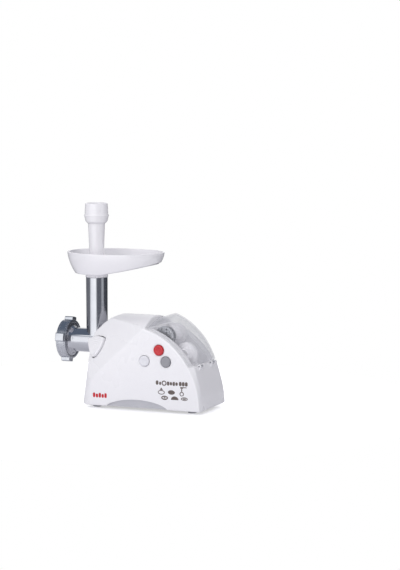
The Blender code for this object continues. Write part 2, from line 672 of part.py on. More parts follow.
def make_head(looks):
    """The cast feed head: barrel, front flange and upright tube in one piece."""
    counterbore = FLANGE_FRONT_X + PLATE_THICKNESS + KNIFE_THICKNESS + 2 * MM
    profile = [(HEAD_REAR_X, 0), (HEAD_REAR_X, BARREL_RADIUS), (FLANGE_REAR_X + 6 * MM, BARREL_RADIUS),
               (FLANGE_REAR_X + 2 * MM, BARREL_RADIUS + 3 * MM), (FLANGE_REAR_X, FLANGE_RADIUS),
            (FLANGE_FRONT_X, FLANGE_RADIUS),
               (FLANGE_FRONT_X, 0)]
    head = turned("feed_head", profile, about_x(), looks["aluminium"], steps=40)
    upright = turned("upright", [(AXIS_Z, 0), (AXIS_Z, TUBE_FOOT_RADIUS), (TUBE_TOP_Z, TUBE_RADIUS),
            (TUBE_TOP_Z, 0)],
                     about_z(TUBE_X), steps=32)
    joined(head, upright)
    cut(head, turned("bore", [(HEAD_REAR_X + 5 * MM, 0), (HEAD_REAR_X + 5 * MM, BARREL_BORE),
            (counterbore, BARREL_BORE),
                              (counterbore, PLATE_RADIUS + GAP),
            (FLANGE_FRONT_X - 5 * MM, PLATE_RADIUS + GAP), (FLANGE_FRONT_X - 5 * MM, 0)],
                     about_x(), steps=36))
    cut(head, cylinder("tube_bore", AXIS_Z, TUBE_TOP_Z + 10 * MM, TUBE_BORE, about_z(TUBE_X), steps=32))
    for angle in BAYONET_ANGLES:
        joined(head, bayonet_block("bayonet", angle, BARREL_RADIUS - 1 * MM, BAYONET_RADIUS, 0,
                HEAD_REAR_X - BAYONET_LENGTH, HEAD_REAR_X - 0.2 * MM))
    key = box("key", (FLANGE_FRONT_X - 0.5 * MM, -2 * MM, AXIS_Z + PLATE_RADIUS - 2.4 * MM),
              (FLANGE_FRONT_X + PLATE_THICKNESS, 2 * MM, AXIS_Z + PLATE_RADIUS + 2 * MM))
    cut(head, key)
    return [shaded(head)]


def bayonet_block(name, angle, low, high, grow, start, end):
    """A short sector between two radii about the barrel's axis."""
    half = math.radians(11) + grow
    points = [(r * math.cos(angle + s * half), AXIS_Z + r * math.sin(angle + s * half)) for r,
            s in ((low, -1), (high, -1), (high, 0), (high, 1), (low, 1))]
    return prism(name, points, start, end, along_x)


def make_socket(looks):
    """The bayonet socket that holds the head, with slots that its lugs enter by."""
    front = RECESS_BACK_X
    neck_rear = RECESS_BACK_X + WALL + GAP
    lugs = HEAD_REAR_X - BAYONET_LENGTH - RUNNING
    bore = BARREL_RADIUS + RUNNING
    room = BAYONET_RADIUS + RUNNING
    rear = SOCKET_REAR_X
    profile = [(front, bore), (front, SOCKET_NECK), (neck_rear, SOCKET_NECK), (neck_rear, SOCKET_RADIUS),
            (rear, SOCKET_RADIUS),
               (rear, 17 * MM), (rear - 2 * MM, 17 * MM), (rear - 2 * MM, room), (lugs, room),
            (lugs, bore)]
    socket = turned("head_socket", profile, about_x(), looks["grey"], steps=40)
    for angle in BAYONET_ANGLES:
        cut(socket, bayonet_block("entry", angle - UNLOCK_ANGLE, BARREL_RADIUS - 1 * MM,
                BAYONET_RADIUS + RUNNING, math.radians(2),
                                  front - 1 * MM, HEAD_REAR_X))
    return [shaded(socket)]


def make_cutting_set(looks):
    """The hole plate and the cross knife in front of the screw."""
    front = FLANGE_FRONT_X - 1 * MM
    plate = holed_plate("hole_plate", PLATE_RADIUS - GAP, PLATE_THICKNESS,
            ((6, 11 * MM), (13, 21.5 * MM)), 3 * MM,
                        about_x(), front, looks["steel"])
    tab = box("tab", (front, -1.6 * MM, AXIS_Z + PLATE_RADIUS - 2 * MM),
            (front + PLATE_THICKNESS, 1.6 * MM, AXIS_Z + PLATE_RADIUS + 1.4 * MM))
    joined(plate, tab)
    rear = front + PLATE_THICKNESS + GAP
    arm = 4.2 * MM
    outline = []
    for k in range(4):
        for along, side in ((9 * MM, -arm * 1.3), (KNIFE_REACH, -arm * 0.7), (KNIFE_REACH, arm),
                (9 * MM, arm)):
            turn = math.pi / 2 * k
            outline.append((along * math.cos(turn) - side * math.sin(turn),
                    AXIS_Z + along * math.sin(turn) + side * math.cos(turn)))
    knife = prism("cross_knife", outline, rear, rear + KNIFE_THICKNESS, along_x, looks["steel"])
    half = SQUARE_STUB / 2 + GAP
    cut(knife, box("square", (rear - 1 * MM, -half, AXIS_Z - half),
            (rear + KNIFE_THICKNESS + 1 * MM, half, AXIS_Z + half)))
    return [shaded(plate), shaded(knife)]


def holed_plate(name, radius, thickness, rows, hole, place, start, look, steps=40):
    """A round cutting plate with a centre hole and rings of round holes."""
    plate = cylinder(name, start, start + thickness, radius, place, look, steps)
    tools = bmesh.new()
    spots = [(0.0, 0.0, STUD_RADIUS + GAP)]
    for count, reach in rows:
        spots += [(reach, math.tau * k / count, hole) for k in range(count)]
    for reach, angle, size in spots:
        ends = []
        for level in (start - 1 * MM, start + thickness + 1 * MM):
            ring = []
            sides = 6 if reach else 14
            for k in range(sides):
                u = reach * math.cos(angle) + size * math.cos(math.tau * k / sides)
                v = reach * math.sin(angle) + size * math.sin(math.tau * k / sides)
                ring.append(tools.verts.new(place(level, math.hypot(u, v), math.atan2(v, u))))
            ends.append(ring)
        bridged(tools, ends)
        tools.faces.new(ends[0])
        tools.faces.new(ends[1])
    return cut(plate, finished(tools, "holes"))


def make_ring(looks):
    """The ring nut that clamps the plate, with four grip lugs."""
    front = FLANGE_FRONT_X - 1 * MM - GAP - RING_LIP
    inner = FLANGE_RADIUS + RUNNING
    chamfer = 1.5 * MM
    profile = [(front, RING_MOUTH), (front, RING_RADIUS - chamfer), (front + chamfer, RING_RADIUS),
            (RING_REAR_X - chamfer, RING_RADIUS),
               (RING_REAR_X, RING_RADIUS - chamfer), (RING_REAR_X, inner), (front + RING_LIP, inner),
            (front + RING_LIP, RING_MOUTH + 1 * MM)]
    ring = turned("ring_nut", profile, about_x(), looks["aluminium"], steps=48)
    half = RING_LUG_WIDTH / 2
    for k in range(4):
        turn = RING_LUG_ANGLE + math.pi / 2 * k
        flat = [(RING_RADIUS - 3 * MM, -half), (RING_LUG_RADIUS - 1.5 * MM, -half),
                (RING_LUG_RADIUS, -half + 2.5 * MM),
                (RING_LUG_RADIUS, half - 2.5 * MM), (RING_LUG_RADIUS - 1.5 * MM, half),
                (RING_RADIUS - 3 * MM, half)]
        outline = [(u * math.cos(turn) - v * math.sin(turn),
                AXIS_Z + u * math.sin(turn) + v * math.cos(turn)) for u, v in flat]
        joined(ring, prism("lug", outline, front + 1.5 * MM, RING_REAR_X - 1 * MM, along_x))
    return [shaded(ring)]


def make_screw(looks):
    """The feed screw with its helical flight, square stub, stud and hexagonal tang."""
    knife_rear = FLANGE_FRONT_X - 1 * MM + PLATE_THICKNESS + GAP + KNIFE_THICKNESS
    front = knife_rear + GAP
    stub_front = FLANGE_FRONT_X - 1 * MM + PLATE_THICKNESS + 1 * MM
    core = turned("feed_screw", [(front, 0), (front, SCREW_CORE_RADIUS), (SCREW_REAR_X - 2 * MM,
            SCREW_CORE_RADIUS + 1.5 * MM),
                                 (SCREW_REAR_X - 2 * MM, 15 * MM), (SCREW_REAR_X, 15 * MM),
            (SCREW_REAR_X, 0)], about_x(), looks["aluminium"], steps=20)
    joined(core, flight("flight", front + 3 * MM, FLIGHT_REAR_X))
    half = SQUARE_STUB / 2
    joined(core, box("stub", (stub_front, -half, AXIS_Z - half), (front + 2 * MM, half, AXIS_Z + half)))
    joined(core, cylinder("stud", FLANGE_FRONT_X - 1 * MM + 0.5 * MM, stub_front + 1 * MM, STUD_RADIUS,
            about_x(), steps=14))
    joined(core, cylinder("tang", SCREW_REAR_X - 1 * MM, SCREW_REAR_X + 9 * MM, HEX_TANG_RADIUS,
            about_x(), steps=6))
    return [shaded(core)]


def flight(name, front, rear):
    """A helical rib of square section, its root sunk in the core."""
    turns = (rear - front - FLIGHT_THICKNESS) / SCREW_PITCH
    count = math.ceil(turns * 12)
    bm = bmesh.new()
    rings = []
    for k in range(count + 1):
        angle = math.tau * turns * k / count
        x = front + (rear - front - FLIGHT_THICKNESS) * k / count
        spots = [(x, SCREW_CORE_RADIUS - 2 * MM), (x + FLIGHT_THICKNESS * 0.2, SCREW_FLIGHT_RADIUS),
                 (x + FLIGHT_THICKNESS * 0.8, SCREW_FLIGHT_RADIUS),
                (x + FLIGHT_THICKNESS, SCREW_CORE_RADIUS - 2 * MM)]
        rings.append([bm.verts.new(about_x()(along, radius, angle)) for along, radius in spots])
    bridged(bm, rings)
    bm.faces.new(rings[0])
    bm.faces.new(rings[-1])
    return finished(bm, name)


def tray_ring(bm, depth_share, inset, count, floor=False):
    """A ring of vertices round the tray at a share of its depth, moved in from its outer face."""
    ring = []
    for k in range(count):
        angle = math.tau * k / count
        c, s = math.cos(angle), math.sin(angle)
        fullness = 2 / 2.25
        u = math.copysign(abs(c) ** fullness, c)
        v = math.copysign(abs(s) ** fullness, s)
        x0 = TRAY_CENTRE_X + TRAY_HALF_LENGTH * u
        depth = TRAY_RIM_Z - tray_floor(x0)
        lean = inset + depth * TRAY_DRAFT * (depth_share ** 2.2 * 0.7 + depth_share * 0.3)
        x = TRAY_CENTRE_X + (TRAY_HALF_LENGTH - lean) * u
        y = (TRAY_HALF_WIDTH - lean) * v
        z = TRAY_RIM_Z - depth * depth_share + (TRAY_WALL if floor else 0)
        ring.append(bm.verts.new((x, y, z)))
    return ring


def tray_floor(x):
    """Height of the tray's outer floor: level round the neck, then rising to the far end."""
    start = TUBE_X + NECK_RADIUS
    end = TRAY_CENTRE_X + TRAY_HALF_LENGTH
    share = max(0.0, (x - start) / (end - start))
    return TRAY_FLOOR_Z + TRAY_FLOOR_RISE * share ** 1.25


def neck_ring(bm, radius, z, count):
    """A ring of vertices round the tray's neck."""
    return [bm.verts.new((TUBE_X + radius * math.cos(math.tau * k / count),
            radius * math.sin(math.tau * k / count), z)) for k in range(count)]


def mixed_ring(bm, neck, edge, share, floor=False):
    """A ring on the floor, part of the way from the neck to the wall."""
    ring = []
    for a, b in zip(neck, edge):
        spot = a.co.lerp(b.co, share)
        spot.z = tray_floor(spot.x) + (TRAY_WALL if floor else 0)
        ring.append(bm.verts.new(spot))
    return ring


def make_tray(looks):
    """The food tray: a deep dish whose neck sits on the tube and whose sleeve enters it."""
    count = 36
    bm = bmesh.new()
    bottom = TUBE_TOP_Z - SLEEVE_DEPTH
    seat = TUBE_TOP_Z + GAP
    rim_outer = tray_ring(bm, 0.0, 0, count)
    wall_outer = [tray_ring(bm, share, 0, count) for share in (0.3, 0.62, 0.85)]
    edge_outer = tray_ring(bm, 1.0, 0, count)
    neck_top = neck_ring(bm, NECK_RADIUS + 1.2 * MM, TRAY_FLOOR_Z, count)
    floor_outer = [mixed_ring(bm, neck_top, edge_outer, share) for share in (0.75, 0.4)]
    neck = [neck_ring(bm, r, z, count) for r, z in ((NECK_RADIUS, TRAY_FLOOR_Z - 3 * MM), (NECK_RADIUS,
            seat), (SLEEVE_RADIUS, seat), (SLEEVE_RADIUS, bottom), (SLEEVE_BORE, bottom))]
    mouth = neck_ring(bm, SLEEVE_BORE, TRAY_FLOOR_Z + TRAY_WALL - 1 * MM, count)
    lip = neck_ring(bm, SLEEVE_BORE + 1.2 * MM, TRAY_FLOOR_Z + TRAY_WALL, count)
    edge_inner = tray_ring(bm, 1.0, TRAY_WALL, count, floor=True)
    floor_inner = [mixed_ring(bm, lip, edge_inner, share, floor=True) for share in (0.4, 0.75)]
    wall_inner = [tray_ring(bm, share, TRAY_WALL, count) for share in (0.8, 0.5, 0.2)]
    rim_inner = tray_ring(bm, 0.0, TRAY_WALL, count)
    rings = [rim_outer, *wall_outer, edge_outer, *floor_outer, neck_top, *neck, mouth, lip, *floor_inner,
            edge_inner, *wall_inner, rim_inner]
    bridged(bm, rings, loop_closed=True)
    return [shaded(finished(bm, "food_tray", looks["white"]), math.radians(40))]


def make_pusher(looks):
    """The pusher: a tapered shaft under a collar and a cup-shaped grip."""
    stop = TRAY_FLOOR_Z + TRAY_WALL + GAP + PUSHER_RAISED
    foot = stop - PUSHER_SHAFT
    top = stop + PUSHER_COLLAR + PUSHER_GRIP
    profile = [(foot, 0), (foot, PUSHER_FOOT_RADIUS - 1.5 * MM), (foot + 1.5 * MM, PUSHER_FOOT_RADIUS),
            (stop - 1 * MM, PUSHER_TOP_RADIUS),
               (stop, PUSHER_TOP_RADIUS + 2.5 * MM), (stop + 3.5 * MM, PUSHER_COLLAR_RADIUS - 3 * MM),
            (stop + PUSHER_COLLAR, PUSHER_COLLAR_RADIUS),
               (stop + PUSHER_COLLAR, PUSHER_GRIP_RADIUS), (top - 1 * MM, PUSHER_GRIP_RADIUS - 1 * MM),
            (top, PUSHER_GRIP_RADIUS - 2 * MM),
               (top, PUSHER_GRIP_RADIUS - 4 * MM), (stop + 6 * MM, PUSHER_TOP_RADIUS - 3 * MM),
            (stop + 6 * MM, 0)]
    return [shaded(turned("pusher", profile, about_z(TUBE_X), looks["white"], steps=32))]


def make_buttons(looks):
    """The three push buttons and the switches behind them."""
    nodes = []
    face = -BODY_WIDTH / 2
    for name, (x, z) in BUTTONS.items():
        proud = face - BUTTON_PROUD
        profile = [(proud, 0), (proud + 0.35 * MM, BUTTON_RADIUS * 0.6),
                (proud + 1.0 * MM, BUTTON_RADIUS * 0.88), (proud + 2.0 * MM, BUTTON_RADIUS),
                   (face + BUTTON_DEPTH, BUTTON_RADIUS), (face + BUTTON_DEPTH, BUTTON_STEM_RADIUS),
                (face + BUTTON_STEM, BUTTON_STEM_RADIUS), (face + BUTTON_STEM, 0)]
        nodes.append(turned(f"button_{name}", profile, about_y(x, z), looks[name], steps=24))
        start = face + BUTTON_STEM + BUTTON_TRAVEL + RUNNING
        nodes.append(box(f"switch_{name}", (x - 7 * MM, start, z - 5 * MM),
                (x + 7 * MM, start + SWITCH_THICKNESS, z + 5 * MM), looks["black"]))
    start += SWITCH_THICKNESS + GAP
    low = (min(x for x, _ in BUTTONS.values()) - 12 * MM, start,
            min(z for _, z in BUTTONS.values()) - 10 * MM)
    high = (max(x for x, _ in BUTTONS.values()) + 10 * MM, start + 1.6 * MM,
            max(z for _, z in BUTTONS.values()) + 2 * MM)
    nodes.append(box("switch_board", low, high, looks["board"]))
    return [shaded(node) for node in nodes]


def make_release(looks):
    """The release button of the head lock."""
    button = bevelled(release_solid("release_button", -RELEASE_DEPTH, RELEASE_PROUD, 0, looks["white"]),
            1.6 * MM, angle=math.radians(60))
    return [shaded(button)]


def gear_outline(teeth, module, phase, centre):
    """A gear's outline in Y and Z. A flank is the chord of its involute from root to tip."""
    pitch = teeth * module / 2
    base = pitch * math.cos(PRESSURE_ANGLE)
    root, tip = pitch - DEDENDUM * module, pitch + ADDENDUM * module

    def involute(radius):
        lean = math.acos(min(1.0, base / radius))
        return math.tan(lean) - lean

    half_at_pitch = math.pi / (2 * teeth) * TOOTH_THINNING
    half_root = half_at_pitch + involute(pitch) - involute(max(root, base))
    half_tip = half_at_pitch + involute(pitch) - involute(tip)
    points = []
    for k in range(teeth):
        middle = phase + math.tau * k / teeth
        for radius, offset in ((root, -half_root), (tip, -half_tip), (tip, half_tip), (root, half_root)):
            points.append((centre[0] + radius * math.cos(middle + offset),
                    centre[1] + radius * math.sin(middle + offset)))
    return points


def idler_centre():
    """Where the idler stands, so that both pairs of gears mesh."""
    first = MODULE_FIRST * (TEETH_MOTOR + TEETH_IDLER_WHEEL) / 2
    second = MODULE_SECOND * (TEETH_IDLER_PINION + TEETH_OUTPUT) / 2
    apart = AXIS_Z - MOTOR_Z
    up = (first ** 2 - second ** 2 + apart ** 2) / (2 * apart)
    return math.sqrt(first ** 2 - up ** 2), MOTOR_Z + up


def make_gears(looks):
    """The two-stage gear train from the motor's pinion to the drive spindle."""
    y, z = idler_centre()
    output_front = GEARBOX_FRONT_X + GEARBOX_WALL + 3 * MM
    output_rear = output_front + OUTPUT_GEAR_WIDTH
    wheel_front = output_rear + 2 * MM
    wheel_rear = wheel_front + IDLER_WHEEL_WIDTH
    to_output = math.atan2(AXIS_Z - z, -y)
    to_motor = math.atan2(MOTOR_Z - z, -y)
    pinion_phase = to_output
    output = prism("output_gear", gear_outline(TEETH_OUTPUT, MODULE_SECOND,
            to_output + math.pi + math.pi / TEETH_OUTPUT, (0, AXIS_Z)),
                   output_front, output_rear, along_x, looks["nylon"])
    cut(output, cylinder("bore", output_front - 1 * MM, output_rear + 1 * MM, 8 * MM + GAP, about_x(),
            steps=6))
    idler = prism("idler_gear", gear_outline(TEETH_IDLER_PINION, MODULE_SECOND, pinion_phase, (y, z)),
            output_front, wheel_front + 1 * MM, along_x, looks["nylon"])
    wheel = prism("wheel", gear_outline(TEETH_IDLER_WHEEL, MODULE_FIRST,
            to_motor + math.pi / TEETH_IDLER_WHEEL, (y, z)), wheel_front, wheel_rear, along_x)
    joined(idler, wheel)
    cut(idler, cylinder("bore", output_front - 1 * MM, wheel_rear + 1 * MM, 3 * MM + GAP, about_x(y, z),
            steps=16))
    pin = cylinder("idler_pin", GEARBOX_FRONT_X + GAP, GEARBOX_FRONT_X + GEARBOX_DEPTH - GAP, 3 * MM,
            about_x(y, z), looks["steel"], steps=14)
    spindle_front = SCREW_REAR_X + GAP
    spindle = turned("drive_spindle", [(spindle_front, 0), (spindle_front, 11 * MM),
            (output_front - 2 * MM, 11 * MM), (output_front - 2 * MM, 0)], about_x(), looks["steel"],
            steps=24)
    joined(spindle, cylinder("hex", output_front - 3 * MM, output_rear, 8 * MM, about_x(), steps=6))
    joined(spindle, cylinder("journal", output_rear - 1 * MM, GEARBOX_FRONT_X + GEARBOX_DEPTH - 1 * MM,
            5 * MM, about_x(), steps=20))
    cut(spindle, cylinder("hex_socket", spindle_front - 1 * MM, SCREW_REAR_X + 9 * MM + 2 * GAP,
            HEX_TANG_RADIUS + GAP, about_x(), steps=6))
    return [shaded(node) for node in (output, idler, pin, spindle)]


def hull_outline(circles, grow, steps=20):
    """The convex outline round circles given as (y, z, radius)."""
    points = [(y + (r + grow) * math.cos(math.tau * k / steps),
            z + (r + grow) * math.sin(math.tau * k / steps)) for y, z, r in circles for k in range(steps)]
    points = sorted(set(points))

    def turns_in(a, b, c):
        """Whether the corner at b doesn't bulge out."""
        return (b[0] - a[0]) * (c[1] - a[1]) <= (b[1] - a[1]) * (c[0] - a[0])

    def chain(spots):
        kept = []
        for p in spots:
            while len(kept) > 1 and turns_in(kept[-2], kept[-1], p):
                kept.pop()
            kept.append(p)
        return kept[:-1]

    return chain(points) + chain(points[::-1])


def make_gearbox(looks):
    """The gearbox casing, its cover and the bush that carries the spindle."""
    y, z = idler_centre()
    output_r = MODULE_SECOND * (TEETH_OUTPUT / 2 + ADDENDUM) + 1.5 * MM
    idler_r = MODULE_FIRST * (TEETH_IDLER_WHEEL / 2 + ADDENDUM) + 1.5 * MM
    circles = [(0, AXIS_Z, output_r), (y, z, idler_r), (0, MOTOR_Z, 14 * MM)]
    back = GEARBOX_FRONT_X + GEARBOX_DEPTH
    case = prism("gearbox_case", hull_outline(circles, GEARBOX_WALL), GEARBOX_FRONT_X, back, along_x,
            looks["grey"])
    cut(case, prism("room", hull_outline(circles, 0), GEARBOX_FRONT_X + GEARBOX_WALL, back + 1 * MM,
            along_x))
    cut(case, cylinder("bush_hole", GEARBOX_FRONT_X - 2 * MM, GEARBOX_FRONT_X + 6 * MM, 14 * MM + GAP,
            about_x(), steps=28))
    cut(case, cylinder("pin_hole", GEARBOX_FRONT_X - 2 * MM, GEARBOX_FRONT_X + 6 * MM, 3 * MM + GAP,
            about_x(y, z), steps=16))
    cover = prism("gearbox_cover", hull_outline(circles, GEARBOX_WALL), back + GAP,
            back + GAP + GEARBOX_WALL, along_x, looks["grey"])
    cut(cover, cylinder("shaft_hole", back - 2 * MM, back + 8 * MM, 9 * MM + GAP, about_x(0, MOTOR_Z),
            steps=24))
    bush = tube("output_bush", GEARBOX_FRONT_X - 2 * MM, GEARBOX_FRONT_X + GEARBOX_WALL + 0.4 * MM,
            11 * MM + GAP, 14 * MM, about_x(), looks["brass"], steps=28)
    return [shaded(node) for node in (case, cover, bush)]


def make_motor(looks):
    """The motor: stator, coils, shaft with core, commutator and fan, brushes, bracket and bearings."""
    place = about_x(0, MOTOR_Z)
    back = GEARBOX_FRONT_X + GEARBOX_DEPTH
    output_rear = GEARBOX_FRONT_X + GEARBOX_WALL + 3 * MM + OUTPUT_GEAR_WIDTH
    wheel = (output_rear + 2 * MM, output_rear + 2 * MM + IDLER_WHEEL_WIDTH)
    nodes = [tube("motor_stator", *STATOR_X, STATOR_BORE, STATOR_RADIUS, place, looks["lamination"],
            steps=28)]
    for name, start in (("front", STATOR_X[0] - COIL_LENGTH - GAP), ("rear", STATOR_X[1] + GAP)):
        nodes.append(tube(f"field_coil_{name}", start, start + COIL_LENGTH, *COIL_RADII, place,
                looks["copper"], steps=20))
    shaft = cylinder("motor_shaft", wheel[0] - 1 * MM, SHAFT_REAR_X, SHAFT_RADIUS, place, looks["steel"],
            steps=16)
    y, z = idler_centre()
    phase = math.atan2(z - MOTOR_Z, y)
    pinion = prism("pinion", gear_outline(TEETH_MOTOR, MODULE_FIRST, phase, (0, MOTOR_Z)), wheel[0],
            wheel[1] + 1 * MM, along_x)
    nodes.append(joined(shaft, pinion))
    bore = SHAFT_RADIUS + GAP
    nodes.append(tube("rotor_core", STATOR_X[0], STATOR_X[1], bore, ROTOR_RADIUS, place,
            looks["lamination"], steps=20))
    nodes.append(tube("commutator", *COMMUTATOR_X, bore, COMMUTATOR_RADIUS, place, looks["copper"],
            steps=16))
    fan = tube("cooling_fan", *FAN_X, bore, 9 * MM, place, looks["black"], steps=20)
    for k in range(FAN_BLADES):
        turn = math.tau * k / FAN_BLADES
        flat = [(8 * MM, -0.9 * MM), (FAN_RADIUS, -0.9 * MM), (FAN_RADIUS, 0.9 * MM), (8 * MM, 0.9 * MM)]
        outline = [(u * math.cos(turn) - v * math.sin(turn),
                MOTOR_Z + u * math.sin(turn) + v * math.cos(turn)) for u, v in flat]
        joined(fan, prism("blade", outline, FAN_X[0] + 1 * MM, FAN_X[1] - 1 * MM, along_x))
    nodes.append(fan)
    for side, where in ((-1, "front"), (1, "rear")):
        near, far = side * (COMMUTATOR_RADIUS + GAP), side * 24 * MM
        nodes.append(box(f"carbon_brush_{where}", (COMMUTATOR_X[0] + 1.5 * MM, min(near, far),
                MOTOR_Z - 4 * MM), (COMMUTATOR_X[1] - 1.5 * MM, max(near, far), MOTOR_Z + 4 * MM),
                looks["black"]))
    bearing = 9 * MM
    bracket = box("motor_bracket", (BRACKET_X, -STATOR_RADIUS, MOTOR_Z - 13 * MM),
            (BRACKET_X + BRACKET_THICKNESS, STATOR_RADIUS, MOTOR_Z + 13 * MM), looks["grey"])
    cut(bracket, cylinder("hole", BRACKET_X - 1 * MM, BRACKET_X + BRACKET_THICKNESS + 1 * MM,
            bearing + GAP, place, steps=24))
    nodes.append(bracket)
    nodes.append(tube("motor_bearing_rear", BRACKET_X, BRACKET_X + BRACKET_THICKNESS, bore, bearing,
            place, looks["steel"], steps=24))
    nodes.append(tube("motor_bearing_front", back + GAP, back + GAP + GEARBOX_WALL, bore, bearing, place,
            looks["steel"], steps=24))
    return [shaded(node) for node in nodes]


def make_accessories(looks):
    """What the bay holds: a sausage tube, a kibbe former and two spare hole plates."""
    low_x, low_z = arch_point(arch_angle_at_x(80 * MM), -6 * MM)
    shape = [(-40 * MM, 9.7 * MM), (-40 * MM, 11.5 * MM), (-21 * MM, 13 * MM), (-20 * MM, 23 * MM),
            (-16 * MM, 23 * MM), (-16 * MM, 10 * MM)]
    nodes = [turned("kibbe_former", shape, about_y(low_x, low_z), looks["white"], steps=32)]
    high_x, high_z = arch_point(arch_angle_at_x(36 * MM), -7 * MM)
    shape = [(36 * MM, 12 * MM), (36 * MM, 21 * MM), (32 * MM, 21 * MM), (31 * MM, 13.5 * MM),
            (20 * MM, 10.5 * MM), (-16 * MM, 8 * MM),
             (-16 * MM, 6.4 * MM), (20 * MM, 8.8 * MM)]
    nodes.append(turned("sausage_tube", shape, about_y(high_x, high_z), looks["white"], steps=24))
    spare = ((-34 * MM, "fine", ((6, 8.5 * MM), (10, 16 * MM)), 2.4 * MM),
            (-26 * MM, "coarse", ((7, 13 * MM),), 4 * MM))
    for start, name, rows, hole in spare:
        nodes.append(holed_plate("spare_plate_" + name, 21 * MM, 4 * MM, rows, hole,
                about_y(high_x, high_z), start, looks["steel"], steps=24))
    return [shaded(node) for node in nodes]


def make_looks():
    """The plain materials, by finish."""
    return {
        "white": material("white_abs", (0.86, 0.86, 0.88), 0.3),
        "clear": material("clear_polycarbonate", (0.92, 0.93, 0.95), 0.08, alpha=0.3),
        "red": material("red_abs", (0.75, 0.03, 0.04), 0.3),
        "grey": material("grey_abs", (0.35, 0.35, 0.37), 0.4),
        "aluminium": material("polished_aluminium", (0.72, 0.73, 0.75), 0.22, 1.0),
        "steel": material("steel", (0.6, 0.6, 0.62), 0.3, 1.0),
        "rubber": material("rubber", (0.12, 0.12, 0.12), 0.8),
        "black": material("black_plastic", (0.03, 0.03, 0.03), 0.5),
        "board": material("circuit_board", (0.03, 0.2, 0.08), 0.5),
        "nylon": material("nylon", (0.8, 0.78, 0.7), 0.5),
        "brass": material("brass", (0.7, 0.5, 0.2), 0.35, 1.0),
        "copper": material("copper", (0.7, 0.33, 0.16), 0.35, 1.0),
        "lamination": material("lamination_steel", (0.3, 0.3, 0.32), 0.45, 1.0),
    }


def main():
    """Clears the scene, makes every piece and moves the whole to its origin."""
    for obj in list(bpy.data.objects):
        bpy.data.objects.remove(obj)
    looks = make_looks()
    makers = (make_housing, make_lid, make_base, make_gland, make_head, make_socket, make_cutting_set,
            make_ring, make_screw, make_tray,
              make_pusher, make_buttons, make_release, make_gears, make_gearbox, make_motor,
            make_accessories)
    nodes = [node for maker in makers for node in maker(looks)]
    spots = [vertex.co.x for node in nodes for vertex in node.data.vertices]
    middle = (min(spots) + max(spots)) / 2
    for node in nodes:
        node.data.transform(Matrix.Translation((-middle, 0, 0)))


main()
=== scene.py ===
"""Electric meat grinder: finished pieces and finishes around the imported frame.

Sizes in the classes are in millimetres on the maker's layout, whose X starts at the middle of the
housing. One function turns them into metres in the frame, so a piece lands where the frame says.
"""

import logging
import math
from collections.abc import Iterator
from contextlib import contextmanager
from dataclasses import dataclass, field
from enum import Enum

import bpy
from mathutils import Matrix, Vector


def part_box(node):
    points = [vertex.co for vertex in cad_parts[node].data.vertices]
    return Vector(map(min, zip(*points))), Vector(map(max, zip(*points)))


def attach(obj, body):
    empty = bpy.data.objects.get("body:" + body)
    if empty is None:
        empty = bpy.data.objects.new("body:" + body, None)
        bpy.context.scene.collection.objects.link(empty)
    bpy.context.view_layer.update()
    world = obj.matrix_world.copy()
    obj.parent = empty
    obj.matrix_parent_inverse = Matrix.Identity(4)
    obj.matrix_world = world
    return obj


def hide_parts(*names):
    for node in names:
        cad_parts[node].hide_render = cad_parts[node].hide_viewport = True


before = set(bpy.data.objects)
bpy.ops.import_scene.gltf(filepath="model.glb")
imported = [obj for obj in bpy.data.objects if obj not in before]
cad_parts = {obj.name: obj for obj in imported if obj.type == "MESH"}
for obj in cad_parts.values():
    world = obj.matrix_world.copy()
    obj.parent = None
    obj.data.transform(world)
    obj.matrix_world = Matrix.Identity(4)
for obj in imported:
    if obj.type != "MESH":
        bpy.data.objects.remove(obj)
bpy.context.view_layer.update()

MM = 0.001
RING_FRONT = -203.8  # the ring nut's front face on the layout
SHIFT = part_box("ring_nut")[0].x - RING_FRONT * MM  # from the layout to the frame, in metres
AXIS_Z = 126.0  # height of the barrel, the screw and the drive
TUBE_X = -129.5  # where the upright tube stands
BAYONET_ANGLES = (60, 240)  # degrees round the axis where the head's two lugs lock
BAYONET_TURN = 30  # degrees from there back to the gaps that the lugs enter by
BAYONET_LOW = 23.2  # inner radius of the lugs and the gaps
MERGE = 2e-6  # metres within which two points are one

Flat = tuple[float, ...]
Point = tuple[float, float, float]
Object = bpy.types.Object
Material = bpy.types.Material

log = logging.getLogger("grinder")


# ---------------------------------------------------------------- hand tools


class Along(Enum):
    """The direction in which an outline is extruded or a profile is turned."""

    X = 0
    Y = 1
    Z = 2

    def point(self, u: float, v: float, level: float) -> Point:
        """Puts the outline's point (u, v) at a level along this direction."""
        return ((level, u, v), (u, level, v), (u, v, level))[self.value]

    def arrow(self) -> Vector:
        """The unit vector of this direction."""
        return Vector([float(k == self.value) for k in range(3)])


class Mix(Enum):
    """How a boolean combines two solids."""

    CUT = "DIFFERENCE"
    JOIN = "UNION"
    KEEP = "INTERSECT"


def to_frame(point: Point) -> Vector:
    """Layout millimetres as frame metres."""
    return Vector((point[0] * MM + SHIFT, point[1] * MM, point[2] * MM))


def deselect() -> None:
    """Leaves nothing selected, in object mode."""
    if bpy.context.mode != "OBJECT":
        bpy.ops.object.mode_set(mode="OBJECT")
    bpy.ops.object.select_all(action="DESELECT")


def hold(piece: Object) -> None:
    """Makes one object the only selected one and the active one."""
    deselect()
    piece.select_set(True)
    bpy.context.view_layer.objects.active = piece


@contextmanager
def editing(piece: Object) -> Iterator[None]:
    """Edit mode with the whole mesh selected."""
    hold(piece)
    bpy.ops.object.mode_set(mode="EDIT")
    bpy.ops.mesh.select_all(action="SELECT")
    yield
    bpy.ops.object.mode_set(mode="OBJECT")


def reshape(piece: Object, points: list[Point]) -> Object:
    """Moves a primitive's corners to points of the layout, in order."""
    flat = [value for point in points for value in to_frame(point)]
    piece.data.vertices.foreach_set("co", flat)
    piece.data.update()
    return piece


